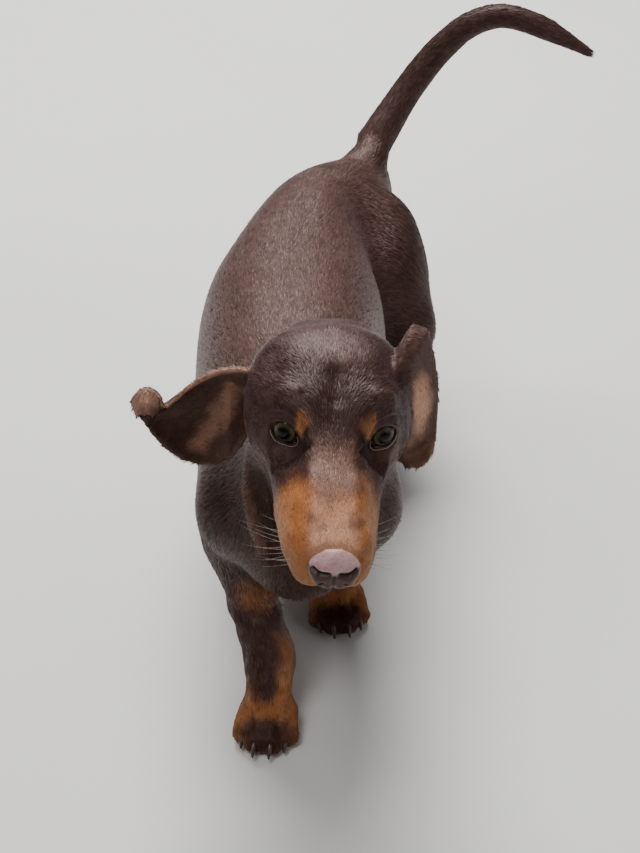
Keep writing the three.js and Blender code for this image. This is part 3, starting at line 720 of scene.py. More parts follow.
CHEEK_HAIR = ((14, -90, -20), (26, -50, -22), (40, -8, -24), (46, 24, -26), (38, 60, -26))
LIE_PATHS = [
    # the middle of the head, the cheeks, the brows and the chin
    *head_paths((0, -92, -2), (0, -40, 12), (0, 0, 24), (0, 40, 32), (0, 72, 14)),
    *head_paths(*CHEEK_HAIR, sides=both),
    *head_paths((16, 2, 22), (34, 14, 18), (44, 40, 8), sides=both),
    *head_paths((0, -80, -48), (0, -20, -56), (0, 20, -54)),
    # the nape, the throat and breast, and the two shoulders
    [(5, 70, 290), (-8, 122, 246), (-18, 160, 240)],
    [(0, 18, 226), (-12, 36, 190), (-14, 46, 130), (-16, 70, 84)],
    [(40, 60, 250), (46, 110, 190), (44, 130, 130)],
    [(-34, 60, 250), (-66, 100, 190), (-72, 130, 130)],
    # the back, the two flanks and the belly
    [(-18, 160, 240), (-20, 300, 239), (0, 420, 236), (22, 480, 216)],
    [(-80, 150, 200), (-92, 250, 140), (-76, 360, 130), (-62, 420, 120)],
    [(44, 150, 200), (52, 250, 140), (44, 350, 130), (70, 380, 120)],
    [(-18, 90, 82), (-20, 200, 78), (-18, 320, 92), (0, 440, 120)],
    # the four legs: right fore, left fore, left hind, right hind
    [(-58, 110, 130), (-48, 94, 78), (-35, 70, 44), (-35, 56, 14), (-35, 20, 6)],
    [(34, 150, 130), (26, 174, 80), (16, 190, 44), (12, 176, 14), (12, 144, 6)],
    [(48, 440, 200), (72, 384, 120), (58, 436, 68), (58, 416, 20), (58, 380, 6)],
    [(-24, 470, 200), (-40, 436, 116), (-30, 504, 70), (-32, 490, 20), (-32, 456, 6)],
    # the ears and the tail
    [(38, 38, 306), (55, 44, 316), (60, 38, 288), (62, 34, 262), (61, 28, 248), (60, 18, 245)],
    [(-38, 40, 286), (-62, 62, 264), (-82, 58, 262), (-100, 32, 276), (-103, 14, 300), (-101, 0, 296)],
    [(28, 486, 194), (58, 524, 237), (99, 540, 291), (146, 533, 323), (195, 519, 311), (218, 512, 300)],
]


def unit(vectors):
    return vectors / np.maximum(np.linalg.norm(vectors, axis=1), 1e-9)[:, None]


def laid_flat(vectors, normals):
    """The vectors pressed onto the skin and made one long."""
    return unit(vectors - normals * (vectors * normals).sum(1)[:, None])


def lie_of(places, normals):
    """The direction of the hair at each place, in metres, flat on the skin."""
    places = to_layout(places)
    total = np.zeros_like(places)
    for path in LIE_PATHS:
        for a, b in zip(np.array(path[:-1], float), np.array(path[1:], float)):
            distance, _ = segment_distance(places, a, b)
            total += (b - a) / np.linalg.norm(b - a) / ((distance + 4) ** 3)[:, None]
    return laid_flat(total, normals)


print("hair follows", len(LIE_PATHS), "paths")

# %% [markdown]
# Markings, painted shade and painted highlights
#
# Chocolate and tan is a pattern that a breeder can name place by place: tan on the brows, the sides
# of the muzzle, the throat, the chest and the feet, dark smudges on the bridge of the nose and over
# the toes. Some of the dark and pale amounts are painted shade and painted highlights instead: shade
# in the hollows of the ears and the throat and under the head, sheen on the crown, the back and the
# bridge, highlights inside the ears. Each mark is an amount from 0 to 1 at every point of the skin,
# worked out from named spots and edges. Skin and coat read the same amounts, so that they agree.

# %% Markings, painted shade and painted highlights
def ragged(h, size, amount, seed):
    """The same points, each pushed a little at random, so that a mark's edge is uneven as hair is."""
    shift = [cloud(h, size, seed + i) for i in range(3)]
    return h + amount * np.column_stack(shift)


def spots(points, marks):
    """The strongest of several spots at each point; a mark is an amount, a centre and three radii."""
    return np.maximum.reduce([amount * spot(points, centre, radii) for amount, centre, radii in marks])


BROW_TAN = [(0.95, (18 * side, -12, 13), (6.2, 6.5, 8.5)) for side in both]


def face_tan(h):
    """Tan of the muzzle and brows, by place in the head's frame."""
    x, y, z = ragged(h, 9, 3.0, 3).T
    side = np.abs(x + 1)
    flank = smoothstep(7, 21, side)  # 0 on the bridge, 1 on the muzzle's sides
    front = -64 + 18 * flank
    muzzle = smoothstep(front + 12, front - 9, y) * (0.8 + 0.2 * flank)
    brows = spots(ragged(h, 3.5, 1.3, 8), BROW_TAN)
    strip = smoothstep(7.5, 3, np.abs(z + 29 - 0.12 * (y - 10)))
    cheek = strip * smoothstep(46, 26, y) * smoothstep(-60, -34, y) * (side > 22)
    throat = smoothstep(-44, -50, z) * smoothstep(30, -10, y)
    return np.maximum.reduce([muzzle, brows, 0.62 * cheek, 0.5 * throat])


FOREHEAD_DARK = [(0.7, (-1, 0, 20), (22, 26, 19))]
FACE_DARK = [
    (0.35, (-1, -24, 14), (8, 22, 9)),  # between the eyes
    *((0.85, (15 * side - 1, -25, 6), (5, 20, 8)) for side in both),  # inner corner of the eye
    *((0.6, (31 * side - 1, -20, -11), (9, 14, 9)) for side in both),  # under the eye
    *((0.4, (26.5 * side, -6, 0), (12, 12, 10.5)) for side in both),  # ring round the eye
    (0.4, (-13, -76, 1), (3.8, 5.7, 9)),  # four smudges on the bridge
    (0.4, (11, -76, 1), (4.0, 6.0, 9)),
    (0.4, (-3, -64, 8), (3.2, 4.8, 9)),
    (0.4, (-6, -82, 2), (2.4, 3.6, 9)),
]


def face_dark(h):
    """Dark brown: the middle of the forehead, the corners of the eyes, and smudges on the bridge."""
    forehead = spots(ragged(h, 14, 3.0, 12), FOREHEAD_DARK)
    return np.maximum(forehead, spots(ragged(h, 8, 3.0, 12), FACE_DARK))


UNDER_EYES_SHEEN = [(0.24, (29 * side, -9, -9), (12, 9, 5)) for side in both]


def face_pale_and_sheen(h):
    """Painted sheen on the crown, under the eyes and along the bridge; along the bridge it is also thin
    pinkish hair, palest behind the nose.
    """
    x, y, z = ragged(h, 9, 2.0, 17).T
    bridge = smoothstep(20, 8, np.abs(x + 1)) * smoothstep(-14, -5, z)
    # painted sheen where the top of the head and the hair under the eyes catch the light
    crown_sheen = np.maximum(0.10 * smoothstep(26, 36, z), spots(h, UNDER_EYES_SHEEN))
    return crown_sheen + bridge * (0.22 * smoothstep(-18, -40, y) + 0.36 * smoothstep(-60, -86, y))


CHEST_TAN = [
    (0.7, (-40, 44, 118), (20, 26, 15)),
    (0.7, (12, 44, 116), (18, 26, 15)),
    (0.49, (-42, 84, 95), (16, 20, 13)),
]
UNDER_TAIL_TAN = [(0.8, (24, 512, 176), (16, 20, 26))]


def body_tan(p):
    """Tan of the chest, the feet and the inner legs, by place in the layout's frame."""
    rough = ragged(p, 12, 5.0, 5)
    x, y, z = rough.T
    amount = np.maximum(spots(rough, CHEST_TAN), spots(p, UNDER_TAIL_TAN))
    for leg in LEGS:
        across = x - leg["paw"][0]
        near = smoothstep(70, 48, np.hypot(across, y - leg["paw"][1]))
        inner = smoothstep(-2, 10, -leg["side"] * across)
        foot = smoothstep(44, 28, z) + 0.75 * inner * smoothstep(74, 50, z)
        amount = np.maximum(amount, near * np.clip(foot, 0, 1) * 0.85)
    return amount


TOE_DARK = [(0.8, paw_point(leg, 1, 26, 13), (20, 17, 12)) for leg in LEGS]
PASTERN_DARK = [(0.48, paw_point(leg, 0, 4, 34), (8, 10, 14)) for leg in LEGS]


def body_dark_and_shade(p):
    """The dark thumb mark over each foot's toes and the deep brown of the tail, with painted shade in the
    throat's hollow and over the throat and breast under the head.
    """
    rough = ragged(p, 7, 2.5, 21)
    # painted shade in the hollow beside the throat's fold
    hollow, _ = path_distance(rough, THROAT_HOLLOW)
    # painted shade over the throat and breast, under the head
    front = 0.75 * smoothstep(125, 72, p[:, 1]) * smoothstep(80, 120, p[:, 2])
    tail = 0.4 * smoothstep(500, 540, p[:, 1])
    feet = spots(rough, TOE_DARK + PASTERN_DARK)
    return np.maximum.reduce([feet, smoothstep(20, 6, hollow), front, tail])


def body_painted_sheen(p):
    """Painted sheen: a grey shine on the top of the back, and a painted highlight along the ridge of the
    throat's fold.
    """
    throat, _ = path_distance(p, THROAT_FOLD)
    # painted sheen on the back, and a painted highlight on the throat's fold
    return np.maximum(0.03 * smoothstep(170, 225, p[:, 2]), 0.22 * smoothstep(6, 2, throat))


# Painted shade in the ears' hollows, where each ear stands off the head
EAR_PAINTED_SHADE = [
    (1, (-42, 54, 262), (14, 34, 44)),  # painted shade at the root of the right ear
    (0.1, (-66, 56, 240), (34, 24, 16)),  # painted shade over the lower half of the right ear
    (1, (50, 44, 298), (9, 22, 24)),  # painted shade at the root of the left ear
]
EAR_PALE_AND_HIGHLIGHTS = [
    (0.85, (61, 36, 284), (9, 16, 21)),  # lining of the left ear: pink skin under thin hair, with a painted highlight
    (0.24, (62, 26, 252), (12, 16, 14)),  # its tip
    (0.4, (-106, 10, 302), (13, 12, 11)),  # painted light on the upturned tip of the right ear
]
RIGHT_EAR_RIM = [(-38, 36, 306), (-60, 42, 302), (-78, 38, 294), (-93, 26, 286), (-95, 12, 301)]
# The fold inside the right ear carries a painted highlight
RIGHT_EAR_FOLD_HIGHLIGHT = [(-50, 58, 282), (-55, 62, 268), (-66, 63, 251), (-76, 54, 239)]


def ear_pale_and_highlights(p):
    """Thin hair over pink skin on the ears' edges, the left ear's lining and its tip, with painted
    highlights on the fold inside the right ear, on that ear's tip and in the left lining.
    """
    soft = ragged(p, 10, 2.5, 31)
    rim, _ = path_distance(soft, RIGHT_EAR_RIM)
    fold, _ = path_distance(soft, RIGHT_EAR_FOLD_HIGHLIGHT)
    amount = 0.42 * smoothstep(4.5, 1.2, rim) + 0.5 * smoothstep(10, 2, fold)
    amount += sum(most * spot(soft, centre, radii) for most, centre, radii in EAR_PALE_AND_HIGHLIGHTS)
    # 0.07 is a little painted light over the whole of each ear
    return np.clip(0.07 + amount, 0, 1)


def marks_and_painted_light_of(places, labels):
    """Tan, dark and pale amounts for each place in metres, as three columns; some dark amounts are
    painted shade, and some pale ones painted highlights and sheen.
    """
    h = to_head(places)
    p = to_layout(places)
    forms = [on(labels, "head", "lower_jaw") > 0, on(labels, "ear_") > 0]
    tan = np.select(forms, [face_tan(h), 0 * p[:, 0]], body_tan(p))
    # on the ears the dark amount is all painted shade
    dark = np.select(forms, [face_dark(h), 0.75 * spots(p, EAR_PAINTED_SHADE)], body_dark_and_shade(p))
    pale = np.select(forms, [face_pale_and_sheen(h), ear_pale_and_highlights(p)], body_painted_sheen(p))
    return np.column_stack([tan * (1 - dark), dark, pale * (1 - 0.6 * dark)])


def write_values(mesh, name, kind, field, values):
    """Keeps a value for each vertex on the mesh, where the materials can read it."""
    attribute = mesh.attributes.new(name, kind, "POINT")
    attribute.data.foreach_set(field, np.asarray(values, np.float32).ravel())


def write_marks(mesh, marks, name="MarkingsAndPaintedLight"):
    """Keeps three amounts for each vertex as a colour."""
    write_values(mesh, name, "FLOAT_COLOR", "color", np.column_stack([marks, np.ones(len(marks))]))


points = read_points(skin.data)
labels = labels_of(points)
marks = marks_and_painted_light_of(points, labels)
write_marks(skin.data, marks)
print("mean tan, dark and pale", marks.mean(0).round(3), "on", len(points), "vertices")

# %% [markdown]
# Materials
#
# Hair is a strand of horn round a dark core: it is coloured inside and shines along its length. A
# coat seen from a metre away reads as a soft sheen over a deep colour. The Principled shader gives
# that with a middling roughness and some sheen. Colours are picked as sRGB hex values, the way a
# paint chart gives them, and one function turns them to the linear values that the renderer needs.

# %% Material helpers
def linear(hex_colour):
    """An sRGB hex colour such as "#4a3330" as linear red, green, blue and alpha."""
    channels = [int(hex_colour[i : i + 2], 16) / 255 for i in (1, 3, 5)]
    return (*[c / 12.92 if c <= 0.04045 else ((c + 0.055) / 1.055) ** 2.4 for c in channels], 1)


def new_material(name):
    material = bpy.data.materials.new(name)
    material.use_nodes = True
    tree = material.node_tree
    return material, tree, tree.nodes["Principled BSDF"]


def set_sockets(node, values):
    for key, value in values.items():
        node.inputs[key.replace("_", " ")].default_value = value


def add_node(tree, kind, settings=None, links=None, **values):
    """Adds a node: settings are its own properties, values are sockets, links join sockets to it."""
    node = tree.nodes.new(kind)
    for key, value in (settings or {}).items():
        setattr(node, key, value)
    set_sockets(node, values)
    for key, source in (links or {}).items():
        tree.links.new(source, node.inputs[key])
    return node


def object_place(tree):
    return add_node(tree, "ShaderNodeTexCoord").outputs["Object"]


def amounts_of(tree, name):
    """The three amounts that a colour attribute holds."""
    colour = add_node(tree, "ShaderNodeAttribute", {"attribute_name": name}).outputs["Color"]
    return add_node(tree, "ShaderNodeSeparateColor", links={"Color": colour}).outputs


def ramp(tree, source, low, high):
    """Spreads the stretch of a value between low and high over 0 to 1."""
    node = add_node(tree, "ShaderNodeMapRange", links={"Value": source})
    node.inputs["From Min"].default_value = low
    node.inputs["From Max"].default_value = high
    return node.outputs["Result"]


def mixed(tree, factor, first, second, blend="MIX"):
    """Mixes two colours; each is a socket or a linear colour."""
    node = tree.nodes.new("ShaderNodeMix")
    node.data_type = "RGBA"
    node.blend_type = blend
    for index, value in ((0, factor), (6, first), (7, second)):
        if isinstance(value, bpy.types.NodeSocket):
            tree.links.new(value, node.inputs[index])
        else:
            node.inputs[index].default_value = value
    return node.outputs[2]


def mottled(tree, tone, low, high, first, second):
    """Two hex colours, mixed where a tone goes from low to high."""
    return mixed(tree, ramp(tree, tone, low, high), linear(first), linear(second))


def noise_of(tree, coordinates, size_mm, detail=3.0, roughness=0.5):
    """Noise whose blobs are about size_mm across."""
    return add_node(
        tree,
        "ShaderNodeTexNoise",
        links={"Vector": coordinates},
        Scale=1 / (size_mm * MM),
        Detail=detail,
        Roughness=roughness,
    ).outputs["Fac"]


def finish_shader(tree, shader, colour, relief=None, **values):
    """Joins the colour, and a relief given as height, strength and mm, and sets the other sockets."""
    tree.links.new(colour, shader.inputs["Base Color"])
    if relief:
        height, strength, depth = relief
        size = {"Strength": strength, "Distance": depth * MM}
        bump = add_node(tree, "ShaderNodeBump", links={"Height": height}, **size)
        tree.links.new(bump.outputs["Normal"], shader.inputs["Normal"])
    set_sockets(shader, values)


def dress(piece, material):
    """Gives a piece its one material, and shades its faces as one round surface."""
    piece.data.materials.clear()
    piece.data.materials.append(material)
    for polygon in piece.data.polygons:
        polygon.use_smooth = True


CHOCOLATE = "#3b2623"
CHOCOLATE_WORN = "#473130"
# CHOCOLATE_DEEP is also the colour of painted shade
CHOCOLATE_DEEP = "#28110c"
TAN = "#9c5a2a"
TAN_LIGHT = "#b87c4c"
# PALE is also the colour of painted highlights and sheen
PALE = "#dea98c"
GLOSS_TINT = "#f0d2ca"  # the shine of brown hair is warm


def coat_colour(tree, coordinates):
    """Chocolate, tan, dark and pale hair, with painted shade and highlights, mixed by the markings, with
    a slow change of tone.
    """
    tan_amount, dark_amount, pale_amount = amounts_of(tree, "MarkingsAndPaintedLight")
    slow = noise_of(tree, coordinates, 35)
    brown = mottled(tree, slow, 0.35, 0.7, CHOCOLATE, CHOCOLATE_WORN)
    colour = mixed(tree, tan_amount, brown, mottled(tree, slow, 0.35, 0.65, TAN, TAN_LIGHT))
    colour = mixed(tree, dark_amount, colour, linear(CHOCOLATE_DEEP))
    return mixed(tree, pale_amount, colour, linear(PALE))


print("coat colours", CHOCOLATE, CHOCOLATE_WORN, CHOCOLATE_DEEP, TAN, TAN_LIGHT, PALE)


# %% Skin material
def hide_material():
    """Skin under short hair: the coat's own colour, a little darker, with a fine streaky relief."""
    material, tree, shader = new_material("short_haired_hide")
    place = object_place(tree)
    hairs = noise_of(tree, place, 1.6, detail=4, roughness=0.65)
    colour = coat_colour(tree, place)
    shaded = mixed(tree, ramp(tree, hairs, 0.35, 0.7), colour, linear("#20120f"))
    colour = mixed(tree, 0.35, colour, shaded)
    gloss = {"Roughness": 0.55, "Specular_IOR_Level": 0.3, "Specular_Tint": linear(GLOSS_TINT)}
    finish_shader(tree, shader, colour, relief=(hairs, 0.5, 0.3), **gloss)
    return material


dress(skin, hide_material())
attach(skin, "root")
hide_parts(*flesh_nodes)
print("skin dressed; it replaces", len(flesh_nodes), "nodes")

# %% [markdown]
# The coat
#
# A smooth coat is short hair that lies flat and overlaps like slates. From a metre away the eye
# reads it in tufts: small slender blades, each a bundle of hairs, that catch the light a little
# differently from their neighbours. Particle hair would be lost in the export, so each tuft is a
# closed sliver of four faces: a root that starts under the skin, two shoulders that give its width,
# and a tip. There are a few hundred thousand, so they are made together as arrays. The tufts are
# smallest on the face, ears and feet and longest on the trunk.

# %% Coats of the body
# piece: its CAD nodes, tufts per square centimetre, width and length in mm, lift in degrees
COATS = {
    "coat_head": (("head",), 140, 0.50, 4.6, 4),
    "coat_jaw": (("lower_jaw",), 110, 0.50, 4.6, 4),
    "coat_ears": (("ear_",), 170, 0.42, 3.4, 3),
    "coat_neck": (("neck",), 110, 0.66, 6.5, 4),
    "coat_chest": (("chest",), 58, 0.90, 8.0, 4),
    "coat_loin": (("loin",), 80, 0.80, 8.0, 4),
    "coat_rump": (("rump", "thigh"), 84, 0.68, 7.2, 3.5),
    "coat_legs": (("forearm", "hock", "shank"), 125, 0.55, 4.8, 3.5),
    "coat_feet": (("forepaw", "hindpaw"), 140, 0.45, 3.4, 4),
    "coat_tail": (("tail",), 130, 0.60, 6.0, 3.5),
}


def skin_triangles(mesh):
    """The skin's triangles as rows of three vertex numbers, and their areas in square metres."""
    mesh.calc_loop_triangles()
    corners = read(mesh.loop_triangles, "vertices", 3, np.int64)
    a, b, c = (read_points(mesh)[corners[:, i]] for i in range(3))
    return corners, np.linalg.norm(np.cross(b - a, c - a), axis=1) / 2


def pad_width(height):
    """The nose pad's width at a height in the head's frame, as a share of its greatest."""
    return 1 - 0.26 * smoothstep(-11, -26, height)


def hair_share(places, normals, labels):
    """How thickly hair grows at each place, from 0 to 1: none in the eyes, on the nose or the soles."""
    h = to_head(places)
    share = np.ones(len(places))
    for side in both:
        local = in_eye(places, side)
        bare = (openness_of(local) < 1.1) & (np.linalg.norm(local, axis=1) < EYE_RADIUS + 3)
        share[bare] = 0
    pad_radii = np.full((len(h), 3), 12.0)
    pad_radii[:, 0] = 14.2 * pad_width(h[:, 2])
    share[np.linalg.norm((h - [0, -95, -14]) / pad_radii, axis=1) < 1] = 0
    share[(places[:, 2] < 4 * MM) & (normals[:, 2] < -0.6)] = 0
    lining = (on(labels, "ear_") > 0) & (normals[:, 1] < -0.1)
    share[lining] *= 0.45
    return share


def sizes_of(places, labels):
    """A factor for the tufts' length and width: shorter towards the nose, the lids and the toes."""
    h = to_head(places)
    on_head = on(labels, "head", "lower_jaw") > 0
    factor = np.where(on_head, 0.5 + 0.6 * smoothstep(-90, 40, h[:, 1]), 1.0)
    for side in both:
        local = in_eye(places, side)
        near = (np.linalg.norm(local, axis=1) < 26) & (local[:, 1] < 0)
        by_lids = 0.45 + 0.55 * smoothstep(1.1, 2.6, openness_of(local))
        factor = np.where(near, factor * by_lids, factor)
    return factor


def comb(places, normals):
    """The hair's direction, turned away from the eyes, with the slight waves of a real coat."""
    along = lie_of(places, normals)
    for side in both:
        local = in_eye(places, side)
        near = smoothstep(2.6, 1.3, openness_of(local)) * (np.linalg.norm(local, axis=1) < 26)
        away = unit(out_of_eye(local * [1, 0, 1], side) - out_of_eye(local * 0, side))
        along = along * (1 - near)[:, None] + away * near[:, None]
    along = laid_flat(along, normals)
    across = np.cross(normals, along)
    p = to_layout(places)
    wave = 12 * cloud(p, 16, 41) + 9 * cloud(p, 5, 43) + rng.normal(0, 5, len(p))
    wave = np.radians(wave)[:, None]
    return along * np.cos(wave) + across * np.sin(wave)


# The nodes whose skin gets a large part of the atlas, and those that get a small one
BIG = ["head", "neck", "chest", "loin", "rump", "thigh_left", "thigh_right", "ear_left"]
SMALL = [name for name in flesh_nodes if name not in BIG]
ATLAS_MARGIN = 0.005


def atlas_of(places, labels):
    """Unrolls each node's skin about its own long axis onto its own part of the unit square."""
    uv = np.zeros((len(places), 2))
    for number, name in enumerate(flesh_nodes):
        mine = labels == number
        if not mine.any():
            continue
        low, high = (np.array(corner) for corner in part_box(name))
        axis = int(np.argmax(high - low))
        rest = [i for i in range(3) if i != axis]
        middle = (low + high) / 2
        share = (places[mine, axis] - low[axis]) / (high - low)[axis]
        across, up = (places[mine, i] - middle[i] for i in rest)
        turn = np.arctan2(across, up) / (2 * np.pi) + 0.5
        if name in BIG:
            columns, bottom, top, place = 4, 0.4, 0.3, BIG.index(name)
        else:
            columns, bottom, top, place = 6, 0.0, 0.4 / math.ceil(len(SMALL) / 6), SMALL.index(name)
        width = 1 / columns
        corner = np.array([place % columns * width, bottom + place // columns * top])
        size = np.array([width, top]) - 2 * ATLAS_MARGIN
        uv[mine] = corner + ATLAS_MARGIN + size * np.column_stack([turn, np.clip(share, 0, 1)])
    return uv


print("atlas of", len(BIG), "large and", len(SMALL), "small parts")

# %% Grow the tufts
SHOULDER = 0.38  # where a tuft is widest, as a share of its length
TUFT_FACES = np.array([[0, 2, 1], [2, 3, 1], [0, 1, 3], [0, 3, 2]])  # root, shoulders 1 and 2, tip
TUFT_PATCH = np.array([[0, -0.0015], [-0.001, -0.0004], [0.001, -0.0004], [0, 0.0015]])


def grow(name, starts, per_cm2, width, length, lift):
    """One piece of the coat: tufts scattered evenly over the skin of some nodes."""
    area = np.where(on(triangle_labels, *starts) > 0, triangle_areas, 0)
    count = int(area.sum() * 1e4 * per_cm2 * (1))
    picked = rng.choice(len(area), count, p=area / area.sum())
    a, b = rng.random(count), rng.random(count)
    a, b = np.where(a + b > 1, 1 - a, a), np.where(a + b > 1, 1 - b, b)
    weights = np.column_stack([1 - a - b, a, b])
    corners = triangles[picked]
    roots = (skin_points[corners] * weights[:, :, None]).sum(1)
    normals = unit((skin_normals[corners] * weights[:, :, None]).sum(1))
    labels = triangle_labels[picked]
    kept = rng.random(count) < hair_share(roots, normals, labels)
    roots, normals, labels = roots[kept], normals[kept], labels[kept]
    marks = marks_and_painted_light_of(roots, labels)
    count = len(roots)

    factor = sizes_of(roots, labels)
    reach = length * MM * factor * rng.uniform(0.7, 1.25, count)
    wide = width * MM * np.sqrt(factor) * rng.uniform(0.7, 1.3, count)
    rise = np.radians(lift * rng.uniform(0.5, 1.8, count))
    along = comb(roots, normals)
    across = np.cross(normals, along)

    def at(share, height):
        forward = along * (reach * np.cos(rise) * share)[:, None]
        return roots + forward + normals * (reach * np.sin(rise) * share + height)[:, None]

    start = at(0, -0.2 * MM)
    shoulder = at(SHOULDER, 0.25 * wide)
    half = across * (wide / 2)[:, None]
    verts = np.stack([start, shoulder + half, shoulder - half, at(1, 0)], axis=1)
    verts[:, :, 2] = np.maximum(verts[:, :, 2], 0.05 * MM)  # the feet stand on the floor, not in it
    tilts = (-0.2 * along, 0.3 * across, -0.3 * across, 0.25 * along)
    shading = np.stack([normals + tilt for tilt in tilts], axis=1)
    shading = shading + rng.normal(0, 0.09, (count, 1, 3))
    shading /= np.linalg.norm(shading, axis=2)[:, :, None]
    tone = rng.normal(0, 1, (count, 1)) * 0.5 + 0.6 * cloud(to_layout(roots), 4, 51)[:, None]
    tone = tone + np.array([-0.7, 0, 0, 0.5])

    mesh = bpy.data.meshes.new(name)
    faces = (TUFT_FACES[None] + 4 * np.arange(count)[:, None, None]).reshape(-1, 3)
    mesh.vertices.add(4 * count)
    mesh.vertices.foreach_set("co", verts.ravel())
    mesh.loops.add(faces.size)
    mesh.loops.foreach_set("vertex_index", faces.ravel().astype(np.int32))
    mesh.polygons.add(len(faces))
    mesh.polygons.foreach_set("loop_start", np.arange(0, faces.size, 3, dtype=np.int32))
    mesh.polygons.foreach_set("use_smooth", np.ones(len(faces), bool))
    mesh.update(calc_edges=True)
    write_marks(mesh, np.repeat(marks, 4, axis=0))
    write_values(mesh, "Tone", "FLOAT", "value", tone)
    patch = atlas_of(roots, labels)[:, None, :] + TUFT_PATCH
    unwrapped = mesh.uv_layers.new(name="OFBake")
    unwrapped.data.foreach_set("uv", patch.reshape(-1, 2)[faces.ravel()].ravel())
    mesh.normals_split_custom_set_from_vertices(shading.reshape(-1, 3))
    coat = in_scene(name, mesh)
    mesh.materials.append(coat_material)
    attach(coat, "root")
    print(name, count, "tufts on", round(area.sum() * 1e4), "cm2")


def hair_material():
    """Hair in tufts: deep at the root, lighter at the tip, each tuft a little different in tone."""
    material, tree, shader = new_material("short_smooth_hair")
    tone = add_node(tree, "ShaderNodeAttribute", {"attribute_name": "Tone"}).outputs["Fac"]
    colour = coat_colour(tree, object_place(tree))
    dark = mixed(tree, 1.0, colour, linear("#8a7a78"), "MULTIPLY")
    light = mixed(tree, 0.10, colour, linear("#b8988a"))
    colour = mixed(tree, ramp(tree, tone, -1.6, 0.2), dark, colour)
    colour = mixed(tree, ramp(tree, tone, 0.2, 1.8), colour, light)
    gloss = {"Roughness": 0.46, "Specular_IOR_Level": 0.32, "Specular_Tint": linear(GLOSS_TINT)}
    sheen = {"Sheen_Weight": 0.06, "Sheen_Roughness": 0.35, "Sheen_Tint": linear("#e0c8c8")}
    finish_shader(tree, shader, colour, **gloss, **sheen)
    return material


coat_material = hair_material()
skin_points = read_points(skin.data)
skin_normals = read_normals(skin.data)
triangles, triangle_areas = skin_triangles(skin.data)
triangle_labels = labels_of(skin_points)[triangles[:, 0]]
for name, form in COATS.items():
    grow(name, *form)

# %% [markdown]
# Eyes
#
# A dog's eye shows a wide hazel iris round a dark pupil, hardly any white, and one sharp highlight.
# The ball is a sphere with a slight bulge in front, the cornea. Its pattern is worked out from the
# distance to the axis of sight, so no picture is needed.

# %% Eyeballs
IRIS_RADIUS = 7.2  # mm
PUPIL_RADIUS = 3.7
CORNEA_BULGE = 0.7
BEHIND = 12.0  # stands for the radius on the back of the ball, so that no iris shows there


def eye_material(name):
    """A wet ball: a streaked iris round a black pupil, darker at both edges, with painted shade under the
    lid.
    """
    material, tree, shader = new_material(name)
    sight = add_node(tree, "ShaderNodeAttribute", {"attribute_name": "Sight"}).outputs["Vector"]
    radius, angle, shade = add_node(tree, "ShaderNodeSeparateXYZ", links={"Vector": sight}).outputs
    spokes = add_node(tree, "ShaderNodeCombineXYZ", links={"X": angle, "Y": radius})
    streaks = add_node(
        tree, "ShaderNodeTexNoise", links={"Vector": spokes.outputs["Vector"]}, Scale=2.2, Detail=3.0
    ).outputs["Fac"]
    colour = mottled(tree, streaks, 0.35, 0.65, "#5a5038", "#807450")
    for start, end, tint in (
        (PUPIL_RADIUS + 2.2, PUPIL_RADIUS, "#25261c"),  # ring round the pupil
        (IRIS_RADIUS - 1.6, IRIS_RADIUS - 0.2, "#1c130d"),  # dark edge of the iris
        (IRIS_RADIUS - 0.1, IRIS_RADIUS + 0.3, "#5f4a40"),  # brownish white of the eye
        (PUPIL_RADIUS + 0.4, PUPIL_RADIUS - 0.5, "#0b0b0a"),  # pupil
    ):
        colour = mixed(tree, ramp(tree, radius, start, end), colour, linear(tint))
    colour = mixed(tree, shade, colour, linear("#0d0a08"))
    gloss = {"Roughness": 0.2, "Specular_IOR_Level": 0.05, "IOR": 1.38}
    finish_shader(tree, shader, colour, **gloss, Coat_Weight=0.25, Coat_Roughness=0.02)
    return material


for name, side in SIDES.items():
    bm = bmesh.new()
    bmesh.ops.create_uvsphere(bm, u_segments=48, v_segments=32, radius=EYE_RADIUS)
    bmesh.ops.rotate(bm, verts=bm.verts, matrix=Matrix.Rotation(math.radians(90), 3, "X"))
    local = places_of(bm.verts)
    radius = np.hypot(local[:, 0], local[:, 2])
    bulge = CORNEA_BULGE * smoothstep(IRIS_RADIUS + 0.6, 0, radius) * (local[:, 1] < 0)
    put(bm.verts, out_of_eye(local * (1 + bulge / EYE_RADIUS)[:, None], side))
    bmesh.ops.recalc_face_normals(bm, faces=bm.faces)
    eye = new_object("eyeball_" + name, bm)
    radius = np.where(local[:, 1] < 0, radius, BEHIND)
    shade = 0.75 * smoothstep(1.5, 6.5, local[:, 2])  # painted shade under the upper lid and its lashes
    sight = np.column_stack([radius, np.arctan2(local[:, 2], local[:, 0]), shade])
    write_values(eye.data, "Sight", "FLOAT_VECTOR", "vector", sight)
    dress(eye, eye_material("wet_eye_" + name))
    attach(eye, "root")
    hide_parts("eye_" + name)
print("eyeballs of", 2 * EYE_RADIUS, "mm")

# %% [markdown]
# Lid margins
#
# The bare edge of a dog's lids is dark and wet, and a thread of bare pink skin runs along the outside
# of the lower one. A thin tube along the almond gives each a clean line, which skin faces can't.

